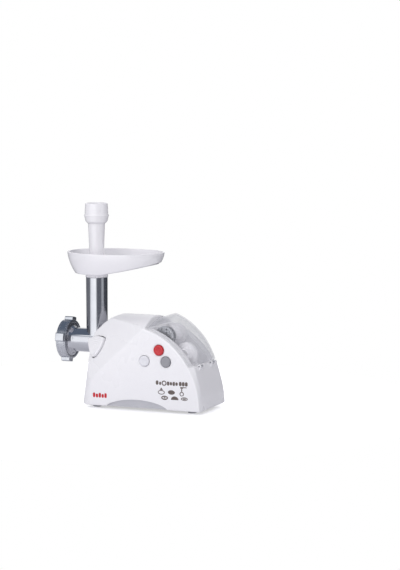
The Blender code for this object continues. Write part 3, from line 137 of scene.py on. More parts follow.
def close_up(piece: Object, capped: bool = False) -> Object:
    """Merges doubles, fills open ends if asked, and turns the faces outwards.

    Args:
        piece: The mesh object.
        capped: Whether open ends are filled.

    Returns:
        The same object.
    """
    with editing(piece):
        bpy.ops.mesh.remove_doubles(threshold=MERGE)
        bpy.ops.mesh.dissolve_degenerate(threshold=MERGE)
        bpy.ops.mesh.select_all(action="SELECT")
        if capped:
            bpy.ops.mesh.fill_holes(sides=0)
            bpy.ops.mesh.select_all(action="SELECT")
        bpy.ops.mesh.normals_make_consistent(inside=False)
    return piece


def loop(points: list[Point], filled: bool) -> Object:
    """A closed line, or a flat face, through points of the layout."""
    deselect()
    kind = "NGON" if filled else "NOTHING"
    bpy.ops.mesh.primitive_circle_add(vertices=len(points), radius=0.01, fill_type=kind)
    return reshape(bpy.context.active_object, points)


def prism(outline: list[Flat], low: float, high: float, along: Along) -> Object:
    """A flat outline extruded between two levels.

    Args:
        outline: Corners of the outline, in order.
        low: First level.
        high: Second level.
        along: Direction of the extrusion.

    Returns:
        The closed solid.
    """
    made = loop([along.point(p[0], p[1], low) for p in outline], filled=True)
    with editing(made):
        step = along.arrow() * (high - low) * MM
        bpy.ops.mesh.extrude_region_move(TRANSFORM_OT_translate={"value": step})
    return close_up(made)


def skin(rows: list[list[Point]], wrapped: bool = False) -> Object:
    """A surface through rows of points, each row a closed ring.

    Args:
        rows: Rings of equal length, in order.
        wrapped: Whether the last ring joins the first. Otherwise the end rings are filled.

    Returns:
        The closed surface.
    """
    rings = [[*row, row[0]] for row in rows]
    if wrapped:
        rings.append(rings[0])
    return close_up(patch(rings), capped=not wrapped)


def patch(rows: list[list[Point]]) -> Object:
    """An open surface: a grid whose corners are moved to rows of points."""
    deselect()
    bpy.ops.mesh.primitive_grid_add(
        x_subdivisions=len(rows[0]) - 1, y_subdivisions=len(rows) - 1, size=0.1)
    return reshape(bpy.context.active_object, [point for row in rows for point in row])


def lathe(profile: list[Flat], along: Along, centre: Flat, steps: int = 96) -> Object:
    """Turns a profile about an axis.

    Args:
        profile: (along, radius) points. One that starts and ends on the axis makes a solid.
        along: Direction of the axis.
        centre: Where the axis stands, in the two other directions.
        steps: Parts of the full turn.

    Returns:
        The closed solid.
    """
    v_only = along is Along.X

    def spot(p: Flat) -> Point:
        """A profile point, out along the second direction of the outline."""
        u, v = (centre[0], centre[1] + p[1]) if v_only else (centre[0] + p[1], centre[1])
        return along.point(u, v, p[0])

    made = loop([spot(p) for p in profile], filled=False)
    with editing(made):
        if profile[0][1] == 0 and profile[-1][1] == 0:
            bpy.ops.mesh.select_all(action="DESELECT")
            bpy.ops.object.mode_set(mode="OBJECT")
            for edge in made.data.edges:
                edge.select = set(edge.vertices) == {0, len(profile) - 1}
            bpy.ops.object.mode_set(mode="EDIT")
            bpy.ops.mesh.delete(type="EDGE_FACE")
            bpy.ops.mesh.select_all(action="SELECT")
        bpy.ops.mesh.spin(
            steps=steps, angle=math.tau, center=to_frame(along.point(centre[0], centre[1], 0)),
            axis=along.arrow())
    return close_up(made)


def block(low: Point, high: Point) -> Object:
    """A block between two corners, for cutting and joining."""
    outline = [(low[0], low[1]), (high[0], low[1]), (high[0], high[1]), (low[0], high[1])]
    return prism(outline, low[2], high[2], Along.Z)


def applied(piece: Object, kind: str, **settings: object) -> Object:
    """Adds a modifier with its settings and applies it."""
    modifier = piece.modifiers.new(kind.lower(), kind)
    for name, value in settings.items():
        setattr(modifier, name, value)
    hold(piece)
    bpy.ops.object.modifier_apply(modifier=modifier.name)
    return piece


def mixed(piece: Object, mix: Mix, *tools: Object) -> Object:
    """Cuts, joins or intersects a solid with others, which are used up."""
    for tool in tools:
        applied(piece, "BOOLEAN", operation=mix.value, solver="MANIFOLD", object=tool)
        bpy.data.objects.remove(tool)
    return piece


def bevelled(piece: Object, width: float, segments: int, angle: float) -> Object:
    """Rounds the edges sharper than an angle in degrees, by a width in millimetres."""
    with editing(piece):
        bpy.ops.mesh.remove_doubles(threshold=0.2 * MM)
        bpy.ops.mesh.dissolve_degenerate(threshold=0.2 * MM)
    return applied(
        piece, "BEVEL", width=width * MM, segments=segments, limit_method="ANGLE",
        angle_limit=math.radians(angle), use_clamp_overlap=False)


def softened(piece: Object, cell: float, rounds: int) -> Object:
    """Gives a solid an even mesh of square cells, then rounds every edge by relaxing it."""
    applied(piece, "REMESH", mode="VOXEL", voxel_size=cell * MM)
    return applied(piece, "SMOOTH", factor=0.5, iterations=rounds)


def smoothed(piece: Object, angle: float = 30) -> Object:
    """Smooth shading up to an angle in degrees, with flat faces kept flat."""
    with editing(piece):
        bpy.ops.mesh.remove_doubles(threshold=MERGE)
        bpy.ops.mesh.dissolve_degenerate(threshold=MERGE)
    hold(piece)
    bpy.ops.object.shade_smooth_by_angle(angle=math.radians(angle))
    return applied(piece, "WEIGHTED_NORMAL", keep_sharp=True, weight=80)


def copied(piece: Object, move: Point) -> Object:
    """A copy with its own mesh, moved by millimetres."""
    hold(piece)
    bpy.ops.object.duplicate(linked=False)
    made = bpy.context.active_object
    with editing(made):
        bpy.ops.transform.translate(value=Vector(move) * MM)
    return made


def rounded(points: list[Flat], closed: bool = True, segments: int = 5) -> list[Flat]:
    """Rounds the corners that carry a radius.

    Args:
        points: (u, v) corners, or (u, v, radius) for a rounded one.
        closed: Whether the last corner joins the first.
        segments: Parts of each rounded corner.

    Returns:
        Plain (u, v) points.
    """
    made: list[Flat] = []
    for k, corner in enumerate(points):
        spot = Vector(corner[:2])
        if len(corner) < 3 or (not closed and k in (0, len(points) - 1)):
            made.append((spot.x, spot.y))
            continue
        back = Vector(points[k - 1][:2]) - spot
        ahead = Vector(points[(k + 1) % len(points)][:2]) - spot
        half = back.angle(ahead) / 2
        reach = min(corner[2] / math.tan(half), 0.48 * back.length, 0.48 * ahead.length)
        radius = reach * math.tan(half)
        middle = spot + (back.normalized() + ahead.normalized()).normalized() * (radius / math.sin(half))
        start = spot + back.normalized() * reach - middle
        end = spot + ahead.normalized() * reach - middle
        for step in range(segments + 1):
            out = start.lerp(end, step / segments).normalized() * radius
            made.append((middle.x + out.x, middle.y + out.y))
    return made


def flowing(points: list[Flat], parts: int, closed: bool = True) -> list[Flat]:
    """A smooth curve through points, with some parts between each two."""
    count = len(points)
    made = []
    for k in range(count if closed else count - 1):
        pick = [points[(k + j) % count] if closed else points[min(max(k + j, 0), count - 1)]
                for j in (-1, 0, 1, 2)]
        for step in range(parts):
            t = step / parts
            made.append(tuple(
                0.5 * (2 * b + (c - a) * t + (2 * a - 5 * b + 4 * c - d) * t * t
                       + (3 * b - a - 3 * c + d) * t ** 3)
                for a, b, c, d in zip(*pick)))
    if not closed:
        made.append(tuple(points[-1]))
    return made


def ellipse(u: float, v: float, a: float, b: float, count: int = 40) -> list[Flat]:
    """Points round an ellipse."""
    return [(u + a * math.cos(math.tau * k / count), v + b * math.sin(math.tau * k / count))
            for k in range(count)]


# ---------------------------------------------------------------- finishes


def linear(colour: str) -> tuple[float, float, float, float]:
    """An sRGB hex colour as linear light.

    Args:
        colour: Six hex digits after a hash sign.

    Returns:
        Red, green, blue and full alpha.
    """
    parts = [int(colour[k:k + 2], 16) / 255 for k in (1, 3, 5)]
    red, green, blue = (c / 12.92 if c <= 0.04045 else ((c + 0.055) / 1.055) ** 2.4 for c in parts)
    return (red, green, blue, 1.0)


def per(size: float) -> float:
    """Texture scale of a pattern with this size in millimetres."""
    return 1 / (size * MM)


def add_node(tree: bpy.types.NodeTree, kind: str, sockets: dict[str, object] | None = None,
             **settings: object) -> bpy.types.Node:
    """Adds a node with its settings and its input values or links.

    Args:
        tree: The node tree.
        kind: The node's type name after "ShaderNode".
        sockets: Value or output socket for each input, by name or number.
        **settings: The node's own properties.

    Returns:
        The node.
    """
    node = tree.nodes.new("ShaderNode" + kind)
    for name, value in settings.items():
        setattr(node, name, value)
    for name, value in (sockets or {}).items():
        if isinstance(value, bpy.types.NodeSocket):
            tree.links.new(value, node.inputs[name])
        else:
            node.inputs[name].default_value = value
    return node


@dataclass(frozen=True)
class Finish:
    """A real surface: two close tones, a gloss that varies, and a fine relief."""

    name: str
    tone: str  # sRGB hex
    second: str  # the other tone of its slight variation
    roughness: tuple[float, float]  # least and most
    grain: float  # size of the fine relief, mm
    relief: float  # its depth, mm
    patch: float = 40.0  # size of the slow variation, mm
    metallic: float = 0.0
    ior: float = 1.5
    coat: float = 0.0
    stretch: tuple[float, float, float] = (1.0, 1.0, 1.0)  # relief frequency by direction

    def surface(self, tree: bpy.types.NodeTree) -> dict[str, object]:
        """Base colour, roughness and normal from nodes.

        Args:
            tree: The material's node tree.

        Returns:
            Sockets and values for the Principled shader.
        """
        place = add_node(tree, "TexCoord").outputs["Object"]
        slow = add_node(tree, "TexNoise", {"Vector": place, "Scale": per(self.patch), "Detail": 3.0})
        tones = add_node(tree, "Mix", {0: slow.outputs["Fac"], 6: linear(self.tone),
                                       7: linear(self.second)}, data_type="RGBA")
        gloss = add_node(tree, "MapRange", {
            "Value": slow.outputs["Fac"], "From Min": 0.3, "From Max": 0.7,
            "To Min": self.roughness[0], "To Max": self.roughness[1]})
        pulled = add_node(tree, "Mapping", {"Vector": place, "Scale": self.stretch})
        fine = add_node(tree, "TexNoise", {
            "Vector": pulled.outputs["Vector"], "Scale": per(self.grain), "Detail": 2.0})
        bump = add_node(tree, "Bump", {
            "Height": fine.outputs["Fac"], "Strength": 0.5, "Distance": self.relief * MM})
        return {"Base Color": tones.outputs[2], "Roughness": gloss.outputs["Result"],
                "Normal": bump.outputs["Normal"]}

    def make(self) -> Material:
        """The material, made once.

        Returns:
            The material with its nodes.
        """
        if self.name in bpy.data.materials:
            return bpy.data.materials[self.name]
        made = bpy.data.materials.new(self.name)
        made.use_nodes = True
        tree = made.node_tree
        tree.nodes.clear()
        values = {"Metallic": self.metallic, "Coat Weight": self.coat, "Coat Roughness": 0.08}
        if not self.metallic:
            values["IOR"] = self.ior
        shader = add_node(tree, "BsdfPrincipled", {**values, **self.surface(tree)})
        add_node(tree, "OutputMaterial", {"Surface": shader.outputs["BSDF"]})
        return made


@dataclass(frozen=True)
class ClearFinish(Finish):
    """A transparent moulding: nearly invisible face on, milky and shiny at a slant."""

    face_on: float = 0.09  # cover seen square on
    slanting: float = 0.5  # cover seen edge on
    spread: float = 0.32  # how far the milky edge reaches inwards
    shading: float = 0.25  # share of the cover that shadows and soft light meet

    def surface(self, tree: bpy.types.NodeTree) -> dict[str, object]:
        """Adds cover that grows towards the edges to the plain surface."""
        made = super().surface(tree)
        slant = add_node(tree, "LayerWeight", {"Blend": self.spread})
        cover = add_node(tree, "MapRange", {
            "Value": slant.outputs["Facing"], "To Min": self.face_on, "To Max": self.slanting})
        rays = add_node(tree, "LightPath").outputs
        shade = add_node(tree, "Math", {0: rays["Is Shadow Ray"], 1: rays["Is Diffuse Ray"]},
                         operation="MAXIMUM")
        dim = add_node(tree, "MapRange", {"Value": shade.outputs["Value"], "To Min": 1.0,
                                          "To Max": self.shading})
        alpha = add_node(tree, "Math", {0: cover.outputs["Result"], 1: dim.outputs["Result"]},
                         operation="MULTIPLY")
        return {**made, "Alpha": alpha.outputs["Value"]}


@dataclass(frozen=True)
class LayeredFinish(Finish):
    """Thin layers or windings that show as lines across one direction."""

    pitch: float = 1.5  # from line to line, mm
    direction: str = "X"
    line: str = "#101010"  # tone between the layers

    def surface(self, tree: bpy.types.NodeTree) -> dict[str, object]:
        """Lines in colour and relief over the plain surface."""
        made = super().surface(tree)
        place = add_node(tree, "TexCoord").outputs["Object"]
        wave = add_node(tree, "TexWave", {"Vector": place, "Scale": per(self.pitch) / math.tau * 2.0},
                        bands_direction=self.direction)
        lines = add_node(tree, "MapRange", {"Value": wave.outputs["Fac"], "From Min": 0.0,
                                            "From Max": 0.3})
        tones = add_node(tree, "Mix", {0: lines.outputs["Result"], 6: linear(self.line),
                                       7: made["Base Color"]}, data_type="RGBA")
        bump = add_node(tree, "Bump", {"Height": wave.outputs["Fac"], "Strength": 0.6,
                                       "Distance": 0.15 * MM, "Normal": made["Normal"]})
        return {**made, "Base Color": tones.outputs[2], "Normal": bump.outputs["Normal"]}


# Moulded ABS: satin white casings; a very fine spark-eroded grain breaks up the gloss.
WHITE_ABS = Finish("moulded_white_abs", "#f2f1f3", "#edecef", (0.24, 0.34), 1.6, 0.012, 90, ior=1.54,
                   coat=0.15)
# The same resin from a polished mould: the tray, the pusher and what touches food are glossier.
FOOD_ABS = Finish("moulded_food_grade_abs", "#f3f2f4", "#eeecf0", (0.16, 0.24), 2.4, 0.006, 70, ior=1.54,
                  coat=0.3)
# Red and grey ABS caps: solid colour in the resin, with a soft gloss.
RED_ABS = Finish("moulded_red_abs", "#cc1020", "#b80c1a", (0.22, 0.3), 1.2, 0.01, 9, ior=1.54, coat=0.3)
GREY_ABS = Finish("moulded_grey_abs", "#97979c", "#8c8c92", (0.28, 0.38), 1.2, 0.012, 9, ior=1.54,
                  coat=0.2)
PALE_ABS = Finish("moulded_pale_abs", "#e4e4e8", "#dcdce2", (0.22, 0.3), 1.2, 0.01, 9, ior=1.54,
                  coat=0.3)
# The closing plate underneath: the same resin, duller, with its colour greyed as painted shade under the
# casing.
PAINTED_SHADE_COVER_ABS = Finish("moulded_cover_abs_painted_shade", "#c4c4c9", "#bbbbc1", (0.3, 0.4), 1.4, 0.012, 40, ior=1.54)
# Dark grey ABS: the moulded socket behind the head.
DARK_GREY_ABS = Finish("moulded_dark_grey_abs", "#6a6a70", "#5e5e64", (0.35, 0.45), 1.4, 0.02, 20,
                       ior=1.54)
# Clear polycarbonate: a bright window with milky edges and slight ripples from the mould.
POLYCARBONATE = ClearFinish("clear_moulded_polycarbonate", "#d6d7dc", "#cccdd3", (0.05, 0.09), 14, 0.02,
                            60, ior=1.58)
# Polished cast aluminium: turned, then buffed; faint rings across the axis stretch the highlights.
BARREL_ALUMINIUM = Finish("polished_cast_aluminium", "#cdced2", "#bfc0c6", (0.12, 0.2), 1.0, 0.006, 26,
                          metallic=1.0, stretch=(1.0, 0.08, 0.08))
# Tumble-polished die-cast aluminium: softer than the barrel, with a slight orange-peel.
CAST_ALUMINIUM = Finish("tumbled_die_cast_aluminium", "#cfd1d5", "#bfc1c7", (0.2, 0.3), 2.2, 0.02, 16,
                        metallic=1.0)
# Ground tool steel: flat faces with fine crossing scratches.
GROUND_STEEL = Finish("ground_steel", "#b4b6ba", "#a2a4aa", (0.24, 0.36), 0.8, 0.01, 12, metallic=1.0,
                      stretch=(1.0, 0.2, 1.0))
# Moulded rubber: dull and slightly dusty, pale in the feet and dark in the cable gland.
FOOT_RUBBER = Finish("moulded_pale_rubber", "#c6c6cb", "#babac0", (0.6, 0.75), 0.9, 0.03, 8, ior=1.52)
RUBBER = Finish("moulded_rubber", "#2a2a2c", "#38383a", (0.72, 0.88), 0.9, 0.05, 8, ior=1.52)
# Screen-printing ink: thin and matt.
DARK_INK = Finish("screen_ink_warm_grey", "#5c524e", "#6b615c", (0.5, 0.6), 0.7, 0.01, 3)
RED_INK = Finish("screen_ink_red", "#c8202c", "#bc1a26", (0.45, 0.55), 0.7, 0.01, 3)
# Inner parts: matt nylon, turned brass, and lines where wire or sheets lie side by side.
BLACK_PLASTIC = Finish("moulded_black_nylon", "#1a1a1c", "#242426", (0.4, 0.55), 1.2, 0.02, 12)
NYLON = Finish("moulded_natural_nylon", "#ddd8c6", "#d0cab6", (0.38, 0.5), 1.4, 0.015, 14, ior=1.53)
BRASS = Finish("turned_brass", "#c9a35c", "#b78f48", (0.22, 0.34), 0.8, 0.01, 10, metallic=1.0,
               stretch=(1.0, 0.1, 0.1))
COPPER = LayeredFinish("wound_enamelled_copper", "#b86a3a", "#a45a2e", (0.25, 0.38), 1.0, 0.01, 12,
                       metallic=1.0, pitch=1.4, line="#3a1c0e")
LAMINATION = LayeredFinish("stacked_lamination_steel", "#7c7e84", "#6c6e74", (0.38, 0.5), 1.0, 0.01, 14,
                           metallic=1.0, pitch=1.6, line="#26272a")
BOARD = LayeredFinish("glass_epoxy_board", "#1f5a34", "#1a4e2d", (0.35, 0.45), 1.0, 0.01, 10,
                      pitch=3.2, direction="Z", line="#2f7a48")

BY_SLOT = {
    "white_abs": WHITE_ABS, "clear_polycarbonate": POLYCARBONATE, "red_abs": RED_ABS,
    "grey_abs": DARK_GREY_ABS, "polished_aluminium": CAST_ALUMINIUM, "steel": GROUND_STEEL,
    "rubber": RUBBER, "black_plastic": BLACK_PLASTIC, "circuit_board": BOARD, "nylon": NYLON,
    "brass": BRASS, "copper": COPPER, "lamination_steel": LAMINATION,
}


def hand_over(piece: Object, name: str, body: str, finish: Finish,
              nodes: tuple[str, ...] = (), angle: float = 30) -> None:
    """Names, smooths and dresses a finished piece, and sets what it rides on.

    Args:
        piece: The mesh object, in place.
        name: The piece's name.
        body: The frame's body that it moves with.
        finish: Its finish.
        nodes: Frame nodes that it stands for.
        angle: Largest angle in degrees that is shaded smooth.
    """
    smoothed(piece, angle)
    piece.name = piece.data.name = name
    piece.data.materials.clear()
    piece.data.materials.append(finish.make())
    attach(piece, body)
    if nodes:
        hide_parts(*nodes)
    log.info("%s: %d faces on %s, in %s", name, len(piece.data.polygons), body, finish.name)


# ---------------------------------------------------------------- the casing


@dataclass(frozen=True)
class Arch:
    """The elliptical back that the housing and the lid share."""

    middle: float = -30.0
    half: float = 152.0
    height: float = 168.5

    def point(self, t: float, out: float = 0.0) -> Flat:
        """The point (x, z) at angle t, moved out along the normal."""
        normal = Vector((math.cos(t) / self.half, math.sin(t) / self.height)).normalized()
        return (self.middle + self.half * math.cos(t) + out * normal.x,
                self.height * math.sin(t) + out * normal.y)

    def at_x(self, x: float) -> float:
        """The angle above a place on X."""
        return math.acos((x - self.middle) / self.half)

    def at_z(self, z: float) -> float:
        """The angle at a height."""
        return math.asin(z / self.height)

    def run(self, start: float, end: float, out: float, parts: int) -> list[Flat]:
        """Points between two angles, moved out along the normal."""
        return [self.point(start + (end - start) * k / parts, out) for k in range(parts + 1)]


ARCH = Arch()


@dataclass
class Housing:
    """The moulded casing with its storage bay, button holes, vents and hinge lugs."""

    half_width: float = 68.0
    left: float = -138.0
    right: float = 122.0
    skirt: float = 5.0
    lean: float = 16 / 121  # of the left end, per millimetre of height
    top: float = 183.0
    wall: float = 3.0
    crown_radius: float = 136.0
    corner_radius: float = 25.0
    cell: float = 1.5  # of the even mesh that gets its edges rounded
    rounds: int = 8
    wall_top: float = 92.0
    chamfer: float = 10.0
    bulge: tuple[Flat, ...] = ((10, 92), (6, 72), (4, 52), (2.5, 28))
    facet_top: Flat = (3.0, 166.0)
    facet_out: Vector = field(default_factory=lambda: Vector((-0.300, -0.899, 0.318)).normalized())
    bay_left: float = 9.0
    bay_half: float = 42.0
    bay_depth: float = 34.0
    ledge: float = 86.0
    recess_back: float = -106.5
    recess_half: float = 23.8  # half the width of the room for the upright tube
    recess_base: float = 26.2  # radius of that room round the barrel
    swing: float = 31.0  # degrees that the upright tube swings back
    mouth_radius: float = 29.8
    mouth_end: float = -88.0
    hinge: Flat = (109.5, 91.5)
    hinge_y: float = 30.0
    notch: float = 6.3  # half the width of the notch for a knuckle
    knuckle: float = 3.8  # radius of the ears and the knuckles
    pin_radius: float = 1.8
    ear_half: float = 1.75  # half an ear's thickness
    ear_out: float = 8.05  # from a knuckle's middle to an ear's
    button_hole: float = 11.25
    button_flare: float = 12.6
    arch: Flat = (-12.5, 67.5, 18.0)  # the skirt arches' middle, half width and height
    gland: Flat = (88.0, 26.0)
    gland_hole: float = 6.3
    vents: int = 7
    vent_first: float = -38.0
    vent_pitch: float = 9.0
    vent_width: float = 4.0
    vent_z: Flat = (48.0, 84.0)
    vent_round: float = 2.0
    buttons: dict[str, Flat] = field(default_factory=lambda: {
        "red": (35.5, 123.4), "grey": (50.2, 100.9), "white": (4.6, 100.7)})

    def side_profile(self, inset: float, bottom: float) -> list[Flat]:
        """The outline from the left foot over the shoulder and the arch to the end wall's top."""
        left = self.left + inset
        path = [
            (left - (self.skirt - bottom) * self.lean, bottom),
            (left + 143 * self.lean, 148 - inset, 9.0),
            (-97 + inset / 2, 168.5 - inset, 60.0),
            (-75 + inset / 2, self.top - inset, 14.0),
            (self.facet_top[0], self.top - inset)]
        start, end = ARCH.at_x(self.facet_top[0] + 2), ARCH.at_z(self.wall_top)
        return rounded(path, closed=False, segments=6) + ARCH.run(start, end, -inset, 48)

    def form(self, inset: float, bottom: float) -> Object:
        """The outer shape as one solid, moved in by inset and cut off flat at the bottom."""
        profile = self.side_profile(inset, bottom)
        plain, bulged = list(profile), list(profile)
        heights = [(self.bulge[0][0], self.wall_top)] + [
            tuple(p) for p in flowing(list(self.bulge), 4, closed=False)[1:]] + [(1.5, bottom)]
        for out, z in heights:
            x = ARCH.point(ARCH.at_z(max(z, 0)))[0] - inset
            at_top = z == self.wall_top
            plain.append((profile[-1][0] + 0.2 if at_top else x, z - (0.5 + inset if at_top else 0)))
            bulged.append((x + out, z - (inset if at_top else 0)))
        half = self.half_width - inset
        rows = [[(u, y, v) for u, v in line] for y, line in (
            (-half, plain), (-half + self.chamfer, bulged), (half - self.chamfer, bulged),
            (half, plain))]
        made = skin(rows)
        crown = [(self.left - 50, 0), (self.left - 50, self.crown_radius - inset),
                 (self.right + 50, self.crown_radius - inset), (self.right + 50, 0)]
        mixed(made, Mix.KEEP, lathe(crown, Along.X, (0, self.top - self.crown_radius), 240))
        for side in (-1, 1):
            mixed(made, Mix.CUT, self.facet_block(side, inset))
        return mixed(made, Mix.KEEP, self.plan_block(inset, half, bottom))

    def plan_block(self, inset: float, half: float, bottom: float) -> Object:
        """The plan with its rounded left corners, which leans with the left end."""
        left, far = self.left + inset, self.right + 50
        plan = rounded([(far, -half), (left, -half, self.corner_radius),
                        (left, half, self.corner_radius), (far, half)], segments=14)
        made = prism(plan, bottom - 10, self.top + 10, Along.Z)
        for vertex in made.data.vertices:
            if vertex.co.x < SHIFT:
                vertex.co.x += (vertex.co.z - self.skirt * MM) * self.lean
        return made

    def facet_block(self, side: int, inset: float) -> Object:
        """A block whose flat face is the slanting facet beside the head. side is -1 at the front."""
        out = Vector((self.facet_out.x, self.facet_out.y * -side, self.facet_out.z))
        spot = Vector((self.facet_top[0], side * self.half_width, self.facet_top[1])) - out * inset
        made = block((-250, -250, 0), (250, 250, 200))
        turn = Matrix.Translation(to_frame(spot)) @ out.to_track_quat("Z", "Y").to_matrix().to_4x4()
        made.data.transform(turn @ Matrix.Translation((-SHIFT, 0, 0)))
        return made

    def facet_spot(self, x: float, z: float) -> Vector:
        """The point of the front facet's plane at a place on X and Z."""
        rest = self.facet_out.x * (x - self.facet_top[0]) + self.facet_out.z * (z - self.facet_top[1])
        return Vector((x, -self.half_width - rest / self.facet_out.y, z))

    def bay(self, inset: float) -> Object:
        """The storage bay's space. With inset 0 it takes in the bay's walls."""
        depth = self.bay_depth + self.wall - inset
        left = self.bay_left - self.wall + inset
        ledge = self.ledge - self.wall + inset
        floor = ARCH.run(ARCH.at_x(left + 14), ARCH.at_z(ledge + 22), -depth, 24)
        above = ARCH.point(ARCH.at_z(self.wall_top))[0] + self.bulge[0][0] - self.wall
        high, far = self.top + 20, self.right + 20
        outline = [(left, high), (left, floor[0][1]), *floor, (floor[-1][0] + 1, ledge)]
        if inset:
            outline += [(above, ledge), (above, self.wall_top - 0.5), (far, self.wall_top - 0.5)]
        else:
            outline.append((far, ledge))
        half = self.bay_half + self.wall - inset
        return prism([*outline, (far, high)], -half, half, Along.Y)

    def recess(self, grow: float) -> Object:
        """Room before the left end for the upright tube, with space for it to swing back."""
        reach, half, base = 80.0, self.recess_half + grow, self.recess_base + grow
        swing = math.radians(self.swing)
        outline = [(-half, AXIS_Z + reach), (-half, AXIS_Z)]
        outline += [(base * math.cos(t), AXIS_Z + base * math.sin(t))
                    for t in (math.pi + (math.pi - swing) * k / 24 for k in range(25))]
        outline.append((half * math.cos(swing) + reach * math.sin(swing),
                        AXIS_Z - half * math.sin(swing) + reach * math.cos(swing)))
        return prism(outline, self.left - 60, self.recess_back + grow, Along.X)

    def holes(self, release: "ReleaseButton") -> list[Object]:
        """Cutters for the mouth, the buttons, the skirt arches, the gland, the vents and the hinge."""
        front = -self.half_width
        mouth = [(self.left - 20, 0), (self.left - 20, self.mouth_radius),
                 (self.mouth_end, self.mouth_radius), (self.mouth_end, 0)]
        tools = [lathe(mouth, Along.X, (0, AXIS_Z))]
        for x, z in self.buttons.values():
            shape = [(front - 9, 0), (front - 9, self.button_flare), (front - 0.1, self.button_flare),
                     (front + 0.7, self.button_hole), (front + 9, self.button_hole), (front + 9, 0)]
            tools.append(lathe(shape, Along.Y, (x, z), 72))
        tools.append(release.solid(-9.0, 20.0, 1.5))
        middle, half, height = self.arch
        arch = [(middle + half * math.cos(t), self.skirt - 1 + height * math.sin(t) ** 1.3)
                for t in (math.pi * k / 40 for k in range(41))]
        tools.append(prism(arch, front - 20, -front + 20, Along.Y))
        bush = ellipse(*self.gland, self.gland_hole, self.gland_hole)
        tools.append(prism(bush, -front - 10, -front + 10, Along.Y))
        low, high = self.vent_z
        for k in range(self.vents):
            start = self.vent_first + self.vent_pitch * k
            end = start + self.vent_width
            slot = [(x, z, self.vent_round) for x, z in (
                (start, low), (end, low), (end, high), (start, high))]
            tools.append(prism(rounded(slot), -front - 8, -front + 8, Along.Y))
        for y in (-self.hinge_y, self.hinge_y):
            tools.append(block((self.hinge[0] - 12, y - self.notch, self.hinge[1] - 4.4),
                               (self.right + 5, y + self.notch, self.hinge[1] + 10)))
        return tools

    def lugs(self) -> list[Object]:
        """Pairs of ears on the bay's ledge that hold the hinge pins."""
        x, z = self.hinge
        head = ellipse(x, z, self.knuckle, self.knuckle, 32)[:17]
        ear = [(x - 4.6, z - 5), (x + 1, z - 9), *head]
        return [prism(ear, y - self.ear_half, y + self.ear_half, Along.Y)
                for middle in (-self.hinge_y, self.hinge_y)
                for y in (middle - self.ear_out, middle + self.ear_out)]

    def build(self, release: "ReleaseButton") -> None:
        """Makes the casing and hands it over."""
        shell = softened(self.form(0, self.skirt), self.cell, self.rounds)
        hollow = self.form(self.wall, self.skirt - 10)
        mixed(hollow, Mix.CUT, self.bay(0), self.recess(self.wall))
        mixed(shell, Mix.CUT, self.bay(self.wall), self.recess(0), hollow, *self.holes(release))
        mixed(shell, Mix.JOIN, *self.lugs())
        pin = ellipse(*self.hinge, self.pin_radius, self.pin_radius, 24)
        mixed(shell, Mix.CUT, prism(pin, -46, 46, Along.Y))
        hand_over(shell, "housing_casing", "base", WHITE_ABS, ("housing",), 32)


@dataclass
class ReleaseButton:
    """The shield-shaped release button on the facet, with concentric grip ridges."""

    casing: Housing
    spot: Flat = (-109.0, 121.0)
    proud: float = 6.0
    depth: float = 5.0
    reach: float = 19.0  # from its middle to its edge, on the whole
    dish: float = 0.86  # share of the outline that the dish takes
    ridges: float = 4.5
    ridge: float = 0.34  # height of a grip ridge
    outline: tuple[Flat, ...] = (
        (-21, 12), (-13, 18), (-2, 20.5), (10, 19.5), (20, 15), (17, 2), (11, -10), (2, -20), (-7, -21),
        (-14, -10))

    def place(self, u: float, v: float, level: float) -> Point:
        """A point of the facet's own plan, at a level out of it."""
        out = self.casing.facet_out
        side = Vector((1, 0, 0))
        side = (side - side.dot(out) * out).normalized()
        up = out.cross(side)
        up = up if up.z > 0 else -up
        return tuple(self.casing.facet_spot(*self.spot) + side * u + up * v + out * level)

    def curve(self) -> list[Flat]:
        """The outline as a smooth curve."""
        return flowing(list(self.outline), 8)

    def ring(self, share: float, level: float) -> list[Point]:
        """The outline shrunk to a share of its size, at a level."""
        return [self.place(u * share, v * share, level) for u, v in self.curve()]

    def solid(self, low: float, high: float, grow: float) -> Object:
        """A prism of the outline, grown by millimetres."""
        share = 1 + grow / self.reach
        return skin([self.ring(share, low), self.ring(share, high)])

    def build(self) -> None:
        """Makes the button with a rounded rim, a shallow dish and ridges, and hands it over."""
        rows = [self.ring(1.0, -self.depth), self.ring(1.0, self.proud - 2.2),
                self.ring(0.985, self.proud - 1.1), self.ring(0.95, self.proud - 0.35),
                self.ring(0.9, self.proud)]
        for k in range(28):
            share = self.dish * (1 - k / 28)
            lift = self.ridge * (0.5 + 0.5 * math.cos(math.tau * share / self.dish * self.ridges))
            rows.append(self.ring(max(share, 0.03), self.proud - 0.55 + lift))
        hand_over(skin(rows), "release_button_cap", "release", WHITE_ABS,
                  ("release_button",), 50)


